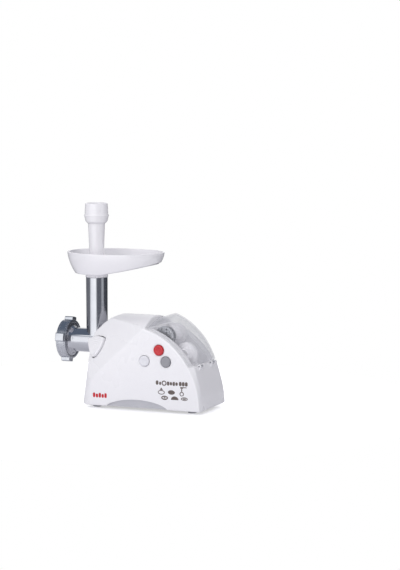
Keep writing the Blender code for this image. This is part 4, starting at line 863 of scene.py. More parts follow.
@dataclass
class StorageLid:
    """The clear lid over the bay, with knuckles that turn on the hinge pins."""

    casing: Housing
    half_width: float = 62.0
    rise: float = 26.0
    foot: float = 1.2
    wall: float = 2.2
    edge_z: float = 96.0
    end_share: float = 0.42
    knuckle_half: float = 6.0
    arm_half: float = 5.0
    across: tuple[Flat, ...] = (
        (-1, 0), (-0.97, 0.22), (-0.86, 0.62), (-0.74, 0.9), (-0.6, 1), (-0.3, 1))

    def stations(self) -> list[Flat]:
        """Angles along the arch with the share of the rise there."""
        first, last = ARCH.at_x(6.0), ARCH.at_z(self.edge_z - 13)
        start = [(first, 0.05), (first - 0.035, 0.6), (first - 0.07, 0.93), (first - 0.1, 1.0)]
        made = flowing(start, 4, closed=False)
        span = last - first + 0.1
        made += [(first - 0.1 + span * k / 40, 1 - (1 - self.end_share) * (k / 40) ** 2)
                 for k in range(1, 41)]
        return made

    def build(self) -> None:
        """Makes the lid and hands it over."""
        half = flowing(list(self.across), 5, closed=False)
        line = half + [(0.0, 1.0)] + [(-u, f) for u, f in reversed(half)]
        rows = []
        for t, share in self.stations():
            row = []
            for u, f in line:
                x, z = ARCH.point(t, self.foot + self.rise * share * min(f, 1.0))
                row.append((x, u * self.half_width, z))
            rows.append(row)
        lid = patch(rows)
        with editing(lid):
            bpy.ops.mesh.normals_make_consistent(inside=False)
        if sum(face.normal.z * face.area for face in lid.data.polygons) < 0:
            with editing(lid):
                bpy.ops.mesh.flip_normals()
        applied(lid, "SOLIDIFY", thickness=self.wall * MM, offset=-1, use_even_offset=True)
        form = self.casing.form(-0.5, self.casing.skirt)
        mixed(lid, Mix.CUT, form, block((0, -100, 0), (200, 100, self.edge_z)))
        x, z = self.casing.hinge
        arm = [(x - 1.8, z + 1), (x + 2.2, z + 1), (x + 0.6, self.edge_z + 2),
               (x - 1.2, self.edge_z + 5), (x - 2.6, self.edge_z + 4)]
        end = ellipse(x, z, self.casing.knuckle, self.casing.knuckle, 32)
        for y in (-self.casing.hinge_y, self.casing.hinge_y):
            mixed(lid, Mix.JOIN, prism(arm, y - self.arm_half, y + self.arm_half, Along.Y),
                  prism(end, y - self.knuckle_half, y + self.knuckle_half, Along.Y))
        pin = ellipse(x, z, self.casing.pin_radius, self.casing.pin_radius, 24)
        mixed(lid, Mix.CUT, prism(pin, -42, 42, Along.Y))
        hand_over(lid, "clear_storage_lid", "lid", POLYCARBONATE,
                  ("storage_lid",), 35)


@dataclass
class BaseParts:
    """Feet, screws, the cable gland and the head's socket."""

    casing: Housing
    foot_x: Flat = (-108.0, 98.0)
    foot_y: float = 46.0
    screw_x: Flat = (-84.0, 76.0)
    screw_y: float = 44.0
    slot_half: Flat = (2.0, 0.4)  # half the length and width of a slot in a screw's head
    slot_z: Flat = (3.0, 4.8)

    def corners(self, first: Object, across: Flat, half: float) -> list[tuple[str, Object]]:
        """Copies a piece made at the front left to the other three corners.

        Args:
            first: The piece at the front left.
            across: The two places on X.
            half: The distance from the middle to either side.

        Returns:
            The name of each corner with its piece.
        """
        spots = [(x, y, f"{where}_{end}") for x, end in zip(across, ("left", "right"))
                 for y, where in ((-half, "front"), (half, "rear"))]
        made = [first] + [copied(first, (x - across[0], y + half, 0)) for x, y, _ in spots[1:]]
        return [(corner, piece) for (_, _, corner), piece in zip(spots, made)]

    def feet(self) -> None:
        """One foot with a grip groove, copied to the four corners."""
        shape = rounded([
            (0, 0), (0, 4.0, 0.6), (0.7, 5.0, 0.4), (0.7, 6.2, 0.4), (0, 7.0, 0.4), (0, 8.2, 1.0),
            (2.6, 9.0, 1.0), (5.6, 7.6, 0.6), (5.6, 3.0), (9.8, 3.0, 0.5), (9.8, 0)],
            closed=False, segments=3)
        first = lathe(shape, Along.Z, (self.foot_x[0], -self.foot_y), 40)
        for corner, piece in self.corners(first, self.foot_x, self.foot_y):
            hand_over(piece, f"rubber_foot_{corner}", "base", FOOT_RUBBER, (f"foot_{corner}",))

    def screws(self) -> None:
        """One pan-head screw with a cross recess, copied to its four places."""
        shape = rounded([(3.7, 0), (3.9, 2.2, 1.5), (4.9, 3.5, 0.6), (5.7, 3.5, 0.2), (5.7, 1.6),
                         (15.7, 1.6), (17.7, 0)], closed=False, segments=4)
        x, y = self.screw_x[0], -self.screw_y
        first = lathe(shape, Along.Z, (x, y), 32)
        low, high = self.slot_z
        for a, b in (self.slot_half, self.slot_half[::-1]):
            mixed(first, Mix.CUT, block((x - a, y - b, low), (x + a, y + b, high)))
        for corner, piece in self.corners(first, self.screw_x, self.screw_y):
            hand_over(piece, f"cross_screw_{corner}", "base", GROUND_STEEL,
                      (f"base_screw_{corner}",))

    def gland(self) -> None:
        """The rubber bush in the rear wall."""
        shape = rounded([
            (60, 3.6, 0.4), (60, 8.0, 0.6), (64.7, 8.0), (64.7, 6.0), (68.3, 6.0), (68.3, 8.2, 0.3),
            (69.4, 8.0, 0.8), (70.5, 6.6, 0.8), (70.5, 3.6, 0.6)], segments=3)
        bush = lathe(shape, Along.Y, self.casing.gland, 48)
        hand_over(bush, "rubber_cable_gland", "base", RUBBER, ("cable_gland",))

    def socket(self) -> None:
        """The bayonet socket round the head's rear end."""
        shape = rounded([
            (-106.5, 24.7, 0.5), (-106.5, 29.5, 0.6), (-103.2, 29.5), (-103.2, 31.5), (-88, 31.5),
            (-88, 17), (-90, 17), (-90, 28.5), (-96.5, 28.5), (-96.5, 24.7)], segments=3)
        made = lathe(shape, Along.X, (0, AXIS_Z))
        for angle in BAYONET_ANGLES:
            mixed(made, Mix.CUT, bayonet(angle - BAYONET_TURN, BAYONET_LOW, 28.5, 13, -107.5, -92))
        hand_over(made, "bayonet_socket", "base", DARK_GREY_ABS, ("head_socket",))

    def build(self) -> None:
        """Makes all of them."""
        self.feet()
        self.screws()
        self.gland()
        self.socket()


def bayonet(angle: float, low: float, high: float, half: float, start: float, end: float) -> Object:
    """A short sector between two radii about the barrel's axis; angles are in degrees."""
    turns = [math.radians(angle + half * s / 6) for s in range(-6, 7)]
    outer = [(high * math.cos(t), AXIS_Z + high * math.sin(t)) for t in turns]
    inner = [(low * math.cos(t), AXIS_Z + low * math.sin(t)) for t in reversed(turns)]
    return prism(outer + inner, start, end, Along.X)


# ---------------------------------------------------------------- the cutting head


@dataclass
class CuttingHead:
    """Barrel with its upright tube, ring nut and hole plate."""

    rear: float = -92.0
    flange: Flat = (-199.0, -184.0)
    barrel: float = 24.2
    bore: float = 21.0
    flange_radius: float = 34.0
    seat: float = 30.3  # radius of the seat for the hole plate
    seat_depth: float = 12.0
    tube: Flat = (21.3, 21.8)  # radius of the upright tube at its foot and its top
    tube_top: float = 255.5
    tube_bore: float = 19.2
    ring: float = 39.5
    ring_lug: float = 46.0
    lug_angle: float = 78.0
    mouth: float = 25.5
    plate: float = 29.7
    plate_thick: float = 5.0
    hole: float = 3.0
    centre_hole: float = 3.7
    hole_rows: tuple[tuple[int, float], ...] = ((6, 11.0), (13, 21.5))  # count and distance out

    def body(self) -> None:
        """The cast barrel and flange with the tube standing on it."""
        front, back = self.flange
        outside = rounded([(self.rear, 0), (self.rear, self.barrel, 0.8), (back + 8, self.barrel, 6.0),
                           (back + 1, self.barrel + 4, 3.0), (back, self.flange_radius, 0.8),
                           (front, self.flange_radius, 0.8), (front, 0)], closed=False, segments=6)
        head = lathe(outside, Along.X, (0, AXIS_Z), 128)
        foot, top = self.tube
        upright = rounded([(AXIS_Z, 0), (AXIS_Z, foot), (self.tube_top, top, 0.8), (self.tube_top, 0)],
                          closed=False, segments=4)
        mixed(head, Mix.JOIN, lathe(upright, Along.Z, (TUBE_X, 0), 128))
        step = front + self.seat_depth
        inside = [(self.rear + 5, 0), (self.rear + 5, self.bore), (step, self.bore), (step, self.seat),
                  (front - 5, self.seat), (front - 5, 0)]
        mixed(head, Mix.CUT, lathe(inside, Along.X, (0, AXIS_Z), 120))
        flare = self.tube_bore + 0.9
        bore = rounded([(AXIS_Z, 0), (AXIS_Z, self.tube_bore), (self.tube_top - 0.8, self.tube_bore),
                        (self.tube_top + 0.2, flare), (self.tube_top + 9, flare),
                        (self.tube_top + 9, 0)], closed=False)
        mixed(head, Mix.CUT, lathe(bore, Along.Z, (TUBE_X, 0), 120))
        for angle in BAYONET_ANGLES:
            mixed(head, Mix.JOIN, bayonet(angle, BAYONET_LOW, 28.0, 11, self.rear - 4, self.rear - 0.2))
        mixed(head, Mix.CUT, block((front - 0.5, -2, AXIS_Z + 27.6), (front + 5, 2, AXIS_Z + 32)))
        hand_over(head, "cast_feed_head", "head", BARREL_ALUMINIUM,
                  ("feed_head",), 34)

    def ring_nut(self) -> None:
        """The ring nut with a rolled rim and four grip lugs."""
        front, rear = RING_FRONT, -183.0
        edge, lug_edge = self.ring, self.ring_lug
        shape = rounded([
            (front, self.mouth, 0.5), (front, edge - 5.4, 0.4), (front + 0.8, edge - 4.6, 0.4),
            (front, edge - 3.8, 0.5), (front, edge, 1.6),
            (front + 4.0, edge, 0.5), (front + 4.6, edge - 0.7, 0.4), (front + 5.2, edge, 0.5),
            (rear - 3.6, edge, 0.5), (rear - 3.0, edge - 0.7, 0.4), (rear - 2.4, edge, 0.5),
            (rear, edge, 1.4), (rear, 34.5, 0.4), (front + 3.5, 34.5),
            (front + 3.5, self.mouth + 1, 0.5)], segments=4)
        nut = lathe(shape, Along.X, (0, AXIS_Z), 144)
        flat = rounded([
            (edge - 3, -9.6), (edge - 0.2, -9.0, 2.0), (lug_edge - 0.6, -8.4, 2.2), (lug_edge, 0, 60.0),
            (lug_edge - 0.6, 8.4, 2.2), (edge - 0.2, 9.0, 2.0), (edge - 3, 9.6)], segments=6)
        for k in range(4):
            turn = math.radians(self.lug_angle + 90 * k)
            c, s = math.cos(turn), math.sin(turn)
            outline = [(u * c - v * s, AXIS_Z + u * s + v * c) for u, v in flat]
            lug = bevelled(prism(outline, front + 1.5, rear - 1, Along.X), 0.9, 3, 40)
            mixed(nut, Mix.JOIN, lug)
        hand_over(nut, "cast_ring_nut", "ring", CAST_ALUMINIUM, ("ring_nut",), 34)

    def hole_plate(self) -> None:
        """The ground plate with two rings of holes and its key tab."""
        front = self.flange[0] - 1
        back = front + self.plate_thick
        rim = rounded([(front, 0), (front, self.plate, 0.6), (back, self.plate, 0.6), (back, 0)],
                      closed=False)
        plate = lathe(rim, Along.X, (0, AXIS_Z), 112)
        spots = [(0.0, 0.0, self.centre_hole)]
        for count, reach in self.hole_rows:
            spots += [(reach, math.tau * k / count, self.hole) for k in range(count)]
        for reach, turn, size in spots:
            y, z = reach * math.cos(turn), AXIS_Z + reach * math.sin(turn)
            shape = [(front - 1, 0), (front - 1, size + 0.5), (front, size + 0.5), (front + 0.5, size),
                     (back + 1, size), (back + 1, 0)]
            mixed(plate, Mix.CUT, lathe(shape, Along.X, (y, z), 28))
        mixed(plate, Mix.JOIN, block((front, -1.6, AXIS_Z + 28), (back, 1.6, AXIS_Z + 31.4)))
        hand_over(plate, "ground_hole_plate", "head", GROUND_STEEL, ("hole_plate",), 34)

    def build(self) -> None:
        """Makes the head's outer pieces."""
        self.body()
        self.ring_nut()
        self.hole_plate()


# ---------------------------------------------------------------- tray and pusher


@dataclass
class Tray:
    """The deep oval food tray with its neck, sleeve and rolled rim."""

    centre_x: float = -87.0
    half_length: float = 100.0
    half_width: float = 72.0
    rim: float = 308.0
    floor: float = 264.0
    floor_rise: float = 24.0
    draft: float = 0.36
    wall: float = 2.4
    neck: float = 22.3
    seat: float = 255.8  # height where it rests on the upright tube
    sleeve: float = 18.7  # outer radius of the sleeve inside that tube
    sleeve_foot: float = 240.0
    throat: float = 17.6
    around: int = 120

    def floor_at(self, x: float) -> float:
        """Height of the outer floor: level round the neck, then rising to the far end."""
        start, end = TUBE_X + self.neck, self.centre_x + self.half_length
        return self.floor + self.floor_rise * max(0.0, (x - start) / (end - start)) ** 1.25

    def corner(self, k: int) -> Flat:
        """The k-th direction round the oval, from -1 to 1 each way."""
        c, s = math.cos(math.tau * k / self.around), math.sin(math.tau * k / self.around)
        full = 2 / 2.25
        return math.copysign(abs(c) ** full, c), math.copysign(abs(s) ** full, s)

    def ring(self, share: float, inset: float, lift: float = 0.0) -> list[Point]:
        """A ring round the wall at a share of its depth, moved in and up."""
        made = []
        for k in range(self.around):
            u, v = self.corner(k)
            depth = self.rim - self.floor_at(self.centre_x + self.half_length * u)
            lean = inset + depth * self.draft * (share ** 2.2 * 0.7 + share * 0.3)
            made.append((self.centre_x + (self.half_length - lean) * u,
                         (self.half_width - lean) * v, self.rim - depth * share + lift))
        return made

    def circle(self, radius: float, z: float) -> list[Point]:
        """A ring round the neck."""
        return [(TUBE_X + radius * math.cos(math.tau * k / self.around),
                 radius * math.sin(math.tau * k / self.around), z) for k in range(self.around)]

    def between(self, near: list[Point], far: list[Point], share: float,
                lift: float) -> list[Point]:
        """A ring on the floor, part of the way from the neck to the wall."""
        made = []
        for a, b in zip(near, far):
            x, y = a[0] + (b[0] - a[0]) * share, a[1] + (b[1] - a[1]) * share
            made.append((x, y, self.floor_at(x) + lift))
        return made

    def build(self) -> None:
        """Makes the tray and hands it over."""
        seat, neck_out, floor, throat = self.seat, self.neck, self.floor, self.throat
        outer = [self.ring(share, 0)
                 for share in (0.1, 0.2, 0.32, 0.45, 0.58, 0.7, 0.8, 0.88, 0.94, 0.98)]
        edge_out = self.ring(1.0, 1.6)
        shoulder = self.circle(neck_out + 2.6, floor)
        under = [self.between(shoulder, edge_out, share, 0)
                 for share in (0.96, 0.8, 0.6, 0.4, 0.2, 0.08)]
        neck = [self.circle(r, z) for r, z in (
            (neck_out + 1.0, floor - 1.0), (neck_out + 0.2, floor - 2.4), (neck_out, floor - 4),
            (neck_out, seat + 2.6), (neck_out + 0.5, seat + 2.2), (neck_out + 0.5, seat + 0.4),
            (neck_out + 0.1, seat), (self.sleeve, seat), (self.sleeve, seat - 14.8),
            (self.sleeve - 0.4, self.sleeve_foot), (throat, self.sleeve_foot))]
        lip = [self.circle(r, z) for r, z in (
            (throat, floor - 1), (throat + 0.3, floor + 1.4), (throat + 1.0, floor + 2.1),
            (throat + 2.2, floor + 2.4))]
        edge_in = self.ring(1.0, self.wall + 1.2, self.wall)
        upper = [self.between(lip[-1], edge_in, share, self.wall)
                 for share in (0.1, 0.25, 0.45, 0.65, 0.85, 0.96)]
        inner = [self.ring(share, self.wall, lift) for share, lift in (
            (0.985, 1.9), (0.95, 1.2), (0.88, 0.8), (0.8, 0.5), (0.7, 0.2), (0.55, 0), (0.4, 0),
            (0.25, 0), (0.12, 0))]
        # The rim: the wall's outer face, then a rounded top edge.
        bead = [self.ring(share, inset) for share, inset in (
            (0.055, 0.0), (0.05, 0.0), (0.012, 0.0), (0.003, 0.3), (0.0, 0.9), (0.0, self.wall - 0.7),
            (0.004, self.wall - 0.2), (0.02, self.wall))]
        rows = [*bead, *reversed(inner), edge_in, *reversed(upper), *reversed(lip), *reversed(neck),
                shoulder, *reversed(under), edge_out, *reversed(outer)]
        hand_over(skin(rows, wrapped=True), "moulded_food_tray", "tray", FOOD_ABS,
                  ("food_tray",), 50)


@dataclass
class Pusher:
    """The pusher: a tapered shaft under a collar and a cup-shaped grip."""

    stop: float = 364.7
    shaft: float = 112.0
    collar: float = 17.0
    grip: float = 23.0

    def build(self) -> None:
        """Makes the pusher and hands it over."""
        stop, foot, rim = self.stop, self.stop - self.shaft, self.stop + self.collar
        top = rim + self.grip
        shape = [(foot, 0), (foot, 12.6, 1.8), (stop - 1, 16.9, 1.0), (stop + 0.4, 19.2, 1.5),
                 (stop + 3.5, 22.0, 3.0), (rim - 3.2, 24.4, 1.0), (rim - 2.6, 25.0, 0.6),
                 (rim, 25.0, 0.8), (rim + 0.3, 23.5, 0.5), (rim + 8.0, 23.4, 0.3),
                 (rim + 8.5, 22.9, 0.3), (rim + 9.0, 23.3, 0.3), (top, 22.4, 1.6), (top, 19.4, 1.2),
                 (stop + 6, 14.0, 3.0), (stop + 6, 0)]
        made = lathe(rounded(shape, closed=False, segments=5), Along.Z, (TUBE_X, 0), 120)
        hand_over(made, "moulded_pusher", "pusher", FOOD_ABS, ("pusher",), 34)


# ---------------------------------------------------------------- buttons, prints and accessories


@dataclass
class PushButtons:
    """Three round caps of one mould, dished for the finger, in three colours."""

    casing: Housing
    radius: float = 10.6
    stem: float = 6.0
    proud: float = 3.0

    def build(self) -> None:
        """Makes one cap, copies it and hands the three over."""
        face = -self.casing.half_width
        out = face - self.proud
        shape = [(out + 0.55, 0), (out + 0.5, 2.5, 4.0), (out + 0.05, 6.5, 5.0), (out, 8.0, 1.5),
                 (out + 0.6, self.radius - 0.6, 1.5), (out + 2.6, self.radius, 1.2),
                 (face + 6, self.radius, 0.4), (face + 6, self.stem), (face + 9.5, self.stem, 0.4),
                 (face + 9.5, 0)]
        x, z = self.casing.buttons["red"]
        first = lathe(rounded(shape, closed=False, segments=6), Along.Y, (x, z), 80)
        looks = {"red": (RED_ABS, "red_abs"), "grey": (GREY_ABS, "grey_abs"),
                 "white": (PALE_ABS, "white_abs")}
        made = {"red": first}
        for name, spot in self.casing.buttons.items():
            if name != "red":
                made[name] = copied(first, (spot[0] - x, 0, spot[1] - z))
        for name, piece in made.items():
            finish, slot = looks[name]
            hand_over(piece, f"push_button_{name}", f"button_{name}", finish,
                      (f"button_{name}",), 34)


@dataclass
class Prints:
    """Screen-printed marks on the front panel: plain symbols and bars, with no words."""

    face: float = -68.0
    proud: float = 0.14
    sunk: float = 0.12
    dash_z: float = 59.4

    def shape(self, outline: list[Flat], inner: list[Flat] | None = None) -> Object:
        """A filled mark, or a band between two outlines."""
        out, back = self.face - self.proud, self.face + self.sunk
        if inner is None:
            return prism(outline, out, back, Along.Y)
        return skin([[(u, y, v) for u, v in line] for line, y in (
            (outline, out), (outline, back), (inner, back), (inner, out))], wrapped=True)

    def oval_band(self, x: float, z: float, a: float, b: float, width: float) -> Object:
        """An oval line."""
        return self.shape(ellipse(x, z, a, b), ellipse(x, z, a - width, b - width))

    def bar(self, x: float, z: float, wide: float, high: float) -> Object:
        """A bar with rounded corners."""
        r = 0.45 * min(wide, high)
        return self.shape(rounded([(x - wide / 2, z - high / 2, r), (x + wide / 2, z - high / 2, r),
                                   (x + wide / 2, z + high / 2, r), (x - wide / 2, z + high / 2, r)]))

    def symbols(self) -> list[Object]:
        """Six plain kitchen symbols in two rows."""
        made = [self.oval_band(41, 40.5, 7.4, 4.4, 1.5),
                self.shape([(37.6, 45.3), (44.4, 45.3), (41, 50)]),
                self.shape(ellipse(62.5, 41.5, 7.4, 4.4)), self.oval_band(84.5, 39.5, 4.6, 4.4, 1.6),
                self.bar(84.5, 46.9, 2.2, 5.6), self.bar(84.5, 50.9, 5.4, 1.6)]
        made += [self.oval_band(48, 30, 7.2, 4.2, 2.4), self.bar(48, 30, 3.6, 2.4),
                 self.shape([(69.5 + 8 * math.cos(math.pi * k / 16), 27 + 7 * math.sin(math.pi * k / 16))
                             for k in range(17)]),
                 self.oval_band(90, 30, 7.2, 3.4, 1.6), self.bar(90, 30, 7.0, 2.2)]
        return made

    def build(self) -> None:
        """Makes the marks and hands them over."""
        dashes = [self.bar(32, self.dash_z, 5.6, 8.4), self.bar(38.6, 58.4, 4.4, 6.4),
                  self.oval_band(47, 59, 5.2, 5.2, 2.2)]
        dashes += [self.bar(55.6 + 6.0 * k, 58.8, 5.0, 6.6 if k % 2 else 8.2) for k in range(4)]
        dashes += [self.bar(81.4 + 6.4 * k, self.dash_z, 5.6, 8.4) for k in range(3)]
        dashes.append(self.bar(88.0, 52.6, 14.0, 1.6))
        for number, piece in enumerate(dashes + self.symbols()):
            hand_over(piece, f"printed_mark_{number:02d}", "base", DARK_INK)
        for k in range(5):
            piece = self.bar(-105.0 + 6.3 * k, 25.4 if k % 2 else 26.4, 5.0, 7.6 if k % 2 else 9.6)
            hand_over(piece, f"printed_accent_{k}", "base", RED_INK)


@dataclass
class Accessories:
    """What the bay holds: a kibbe former, a sausage tube and two spare plates."""

    low: Flat = (75.45, 112.37)
    high: Flat = (32.70, 145.61)
    plate: float = 21.0
    plate_thick: float = 4.0
    centre_hole: float = 3.7

    def spare(self, start: float, rows: tuple[tuple[int, float], ...], hole: float) -> Object:
        """A small hole plate.

        Args:
            start: Where its front face stands.
            rows: The count and the distance out of each ring of holes.
            hole: Radius of those holes.

        Returns:
            The plate.
        """
        end = start + self.plate_thick
        rim = rounded([(start, 0), (start, self.plate, 0.5), (end, self.plate, 0.5), (end, 0)],
                      closed=False)
        plate = lathe(rim, Along.Y, self.high, 96)
        spots = [(0.0, 0.0, self.centre_hole)]
        for count, reach in rows:
            spots += [(reach, math.tau * k / count, hole) for k in range(count)]
        for reach, turn, size in spots:
            centre = (self.high[0] + reach * math.cos(turn), self.high[1] + reach * math.sin(turn))
            mixed(plate, Mix.CUT, prism(ellipse(*centre, size, size, 24), start - 1, end + 1, Along.Y))
        return plate

    def build(self) -> None:
        """Makes the accessories and hands them over."""
        shape = [(-40, 9.7, 0.5), (-40, 11.5, 0.5), (-22, 12.9, 2.0), (-20, 22.4, 1.2),
                 (-18.6, 23, 0.8), (-16, 23, 0.8), (-16, 10, 0.5)]
        former = lathe(rounded(shape, segments=4), Along.Y, self.low)
        hand_over(former, "moulded_kibbe_former", "base", FOOD_ABS, ("kibbe_former",), 34)
        shape = [(36, 12, 0.5), (36, 21, 0.8), (32, 21, 0.8), (31, 13.5, 2.0), (20, 10.5, 12.0),
                 (-16, 8, 0.5), (-16, 6.4, 0.4), (20, 8.8, 12.0)]
        tube = lathe(rounded(shape, segments=5), Along.Y, self.high)
        hand_over(tube, "moulded_sausage_tube", "base", FOOD_ABS, ("sausage_tube",), 34)
        fine = self.spare(-34, ((6, 8.5), (10, 16.0)), 2.4)
        coarse = self.spare(-26, ((7, 13.0),), 4.0)
        hand_over(fine, "ground_spare_plate_fine", "base", GROUND_STEEL, ("spare_plate_fine",))
        hand_over(coarse, "ground_spare_plate_coarse", "base", GROUND_STEEL,
                  ("spare_plate_coarse",))


# ---------------------------------------------------------------- studio


@dataclass
class Studio:
    """Pale floor, soft lights and the camera."""

    target: Point = (0.0, 0.0, 150.0)
    lit: Point = (-40.0, 0.0, 170.0)  # the place that the softboxes face
    azimuth: float = 23.5
    elevation: float = 7.6
    distance: float = 4.0
    lens: float = 126.3
    right: float = 0.0886  # from the target to where the camera aims, metres
    up: float = 0.0934
    # Painted glow on the floor, seen by the camera alone: this much near the object, full at the floor's
    # edge.
    painted_floor_glow: float = 0.5  # near the object
    floor_radius: float = 0.6  # metres
    wall: str = "#d0d0d2"  # reflected from behind the object, above the floor
    zenith: str = "#525b69"  # reflected from above
    haze: str = "#c3c3c8"  # what lights every surface evenly
    sparkle: float = 1.7  # strength of what polished surfaces reflect
    bands: tuple[tuple[float, str], ...] = (
        (-180, "#2c2d31"), (-150, "#5e6066"), (-80, "#686a70"), (-62, "#e6e7ea"), (-12, "#f4f5f6"),
        (2, "#5a5c63"), (46, "#55575e"), (54, "#94969b"), (74, "#9c9ea2"), (82, "#3f4147"),
        (150, "#34363b"))  # reflected at each angle from the camera's own

    def basis(self, azimuth: float, elevation: float) -> tuple[Vector, Vector, Vector]:
        """Directions back, right and up of a camera at two angles in degrees."""
        a, e = math.radians(azimuth), math.radians(elevation)
        back = Vector((math.sin(a) * math.cos(e), -math.cos(a) * math.cos(e), math.sin(e)))
        right = Vector((math.cos(a), math.sin(a), 0))
        return back, right, back.cross(right)

    def camera(self) -> None:
        """Makes the camera."""
        back, right, up = self.basis(self.azimuth, self.elevation)
        centre = to_frame(self.target)
        data = bpy.data.cameras.new("camera")
        data.lens, data.sensor_width = self.lens, 36
        made = bpy.data.objects.new("camera", data)
        bpy.context.scene.collection.objects.link(made)
        made.location = centre + back * self.distance
        aim = centre + right * self.right + up * self.up - made.location
        made.rotation_euler = aim.to_track_quat("-Z", "Y").to_euler()
        bpy.context.scene.camera = made

    def softbox(self, name: str, azimuth: float, elevation: float, reach: float, size: Flat,
                power: float) -> None:
        """A rectangular area light that faces the object and shows in no reflection.

        Args:
            name: The light's name.
            azimuth: Its direction round the object, in degrees.
            elevation: Its direction above the floor, in degrees.
            reach: Its distance in metres.
            size: Its width and height in metres.
            power: Its power in watts.
        """
        back, _, _ = self.basis(azimuth, elevation)
        data = bpy.data.lights.new(name, "AREA")
        data.shape, data.size, data.size_y, data.energy = "RECTANGLE", *size, power
        made = bpy.data.objects.new(name, data)
        bpy.context.scene.collection.objects.link(made)
        made.location = to_frame(self.lit) + back * reach
        made.rotation_euler = back.to_track_quat("Z", "Y").to_euler()
        made.visible_glossy = False

    def floor(self) -> None:
        """A pale round floor with a faint sheen and a painted glow that only the camera sees. The glow
        is weakest near the object and fades into the white behind it.
        """
        deselect()
        bpy.ops.mesh.primitive_circle_add(vertices=96, radius=self.floor_radius, fill_type="NGON")
        made = bpy.context.active_object
        made.name = "floor"
        surface = bpy.data.materials.new("pale_acrylic_floor")
        surface.use_nodes = True
        tree = surface.node_tree
        tree.nodes.clear()
        place = add_node(tree, "TexCoord").outputs["Object"]
        away = add_node(tree, "VectorMath", {0: place}, operation="LENGTH")
        # Painted glow: emission that only the camera sees, weakest near the object and full at the edge,
        # so the floor is painted darker round the object.
        fade = add_node(tree, "MapRange", {
            "Value": away.outputs["Value"], "From Min": 0.15, "From Max": self.floor_radius - 0.05,
            "To Min": self.painted_floor_glow, "To Max": 1.0}, interpolation_type="SMOOTHSTEP")
        seen = add_node(tree, "LightPath").outputs["Is Camera Ray"]
        glow = add_node(tree, "Math", {0: fade.outputs["Result"], 1: seen}, operation="MULTIPLY")
        shader = add_node(tree, "BsdfPrincipled", {
            "Base Color": linear("#f2f2f6"), "Roughness": 0.14, "IOR": 1.33,
            "Emission Color": linear("#ffffff"), "Emission Strength": glow.outputs["Value"]})
        add_node(tree, "OutputMaterial", {"Surface": shader.outputs["BSDF"]})
        made.data.materials.append(surface)

    def world(self) -> None:
        """White to the eye, even for diffuse light, and bands of light and dark in polished surfaces."""
        made = bpy.data.worlds.new("studio")
        bpy.context.scene.world = made
        made.use_nodes = True
        tree = made.node_tree
        tree.nodes.clear()
        path = add_node(tree, "LightPath")
        facing = add_node(tree, "TexCoord").outputs["Generated"]
        split = add_node(tree, "SeparateXYZ", {"Vector": facing})
        back, right, _ = self.basis(self.azimuth, 0)
        along = [add_node(tree, "VectorMath", {0: facing, 1: axis},
                          operation="DOT_PRODUCT").outputs["Value"] for axis in (right, back)]
        turn = add_node(tree, "Math", {0: along[0], 1: along[1]}, operation="ARCTAN2")
        share = add_node(tree, "MapRange", {"Value": turn.outputs["Value"], "From Min": -math.pi,
                                            "From Max": math.pi})
        bands = add_node(tree, "ValToRGB", {"Fac": share.outputs["Result"]})
        stops = bands.color_ramp.elements
        stops[0].position, stops[1].position = 0.0, 1.0
        stops[0].color = stops[1].color = linear(self.bands[0][1])
        for degrees, tone in self.bands[1:]:
            stops.new(0.5 + degrees / 360).color = linear(tone)
        rise = add_node(tree, "MapRange", {"Value": split.outputs["Z"], "From Min": 0.4,
                                           "From Max": 0.75}, interpolation_type="SMOOTHSTEP")
        glossy = add_node(tree, "Mix", {0: rise.outputs["Result"], 6: bands.outputs["Color"],
                                        7: linear(self.zenith)}, data_type="RGBA")
        behind = add_node(tree, "MapRange", {"Value": along[1], "From Min": -0.75, "From Max": -0.95})
        above = add_node(tree, "MapRange", {"Value": split.outputs["Z"], "From Min": 0.0,
                                            "From Max": 0.04})
        wall = add_node(tree, "Math", {0: behind.outputs["Result"], 1: above.outputs["Result"]},
                        operation="MULTIPLY")
        mirrored = add_node(tree, "Mix", {0: wall.outputs["Value"], 6: glossy.outputs[2],
                                          7: linear(self.wall)}, data_type="RGBA")
        diffuse = add_node(tree, "Mix", {0: path.outputs["Is Glossy Ray"], 6: linear(self.haze),
                                         7: mirrored.outputs[2]}, data_type="RGBA")
        seen = add_node(tree, "Mix", {0: path.outputs["Is Camera Ray"], 6: diffuse.outputs[2],
                                      7: (1.0, 1.0, 1.0, 1.0)}, data_type="RGBA")
        lift = add_node(tree, "MapRange", {"Value": path.outputs["Is Glossy Ray"], "To Min": 1.0,
                                           "To Max": self.sparkle})
        sky = add_node(tree, "Background", {"Color": seen.outputs[2],
                                            "Strength": lift.outputs["Result"]})
        add_node(tree, "OutputWorld", {"Surface": sky.outputs["Background"]})

    def build(self) -> None:
        """Makes the whole studio."""
        bpy.context.scene.view_settings.view_transform = "Standard"
        self.camera()
        self.world()
        self.floor()
        self.softbox("key", self.azimuth - 36, 20, 1.8, (1.25, 1.5), 10)
        self.softbox("top", self.azimuth - 25, 78, 1.6, (1.6, 1.2), 6)
        self.softbox("front_fill", self.azimuth - 18, 8, 3.4, (2.0, 1.4), 9)
        self.softbox("side_fill", self.azimuth + 60, 12, 3.0, (1.6, 1.4), 9)


# ---------------------------------------------------------------- the whole


def dress_frame_nodes() -> None:
    """Gives every frame node that still shows the finish of its material slot."""
    for name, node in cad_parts.items():
        if node.hide_render:
            continue
        label = node.data.materials[0].name.split(".")[0] if node.data.materials else ""
        # The closing plate takes the finish that is greyed with painted shade.
        finish = PAINTED_SHADE_COVER_ABS if name == "base_cover" else BY_SLOT[label]
        for index in range(len(node.data.materials)):
            node.data.materials[index] = finish.make()
        log.info("%s keeps its frame shape, in %s", name, finish.name)


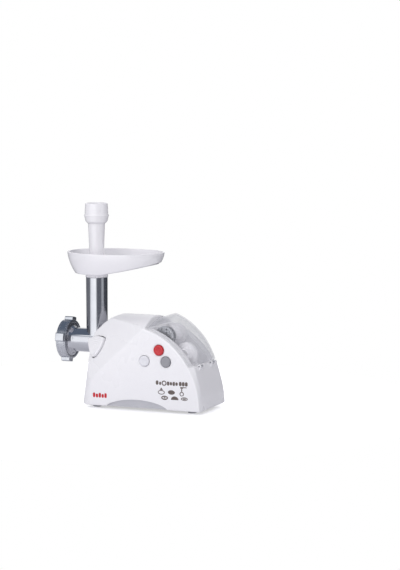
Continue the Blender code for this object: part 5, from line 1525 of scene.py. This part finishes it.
def main() -> None:
    """Builds the studio and every sub-assembly in order."""
    logging.basicConfig(level=logging.INFO, format="%(name)s: %(message)s")
    Studio().build()
    casing = Housing()
    release = ReleaseButton(casing)
    casing.build(release)
    release.build()
    StorageLid(casing).build()
    BaseParts(casing).build()
    CuttingHead().build()
    Tray().build()
    Pusher().build()
    PushButtons(casing).build()
    Prints().build()
    Accessories().build()
    dress_frame_nodes()


if __name__ == "__main__":
    main()
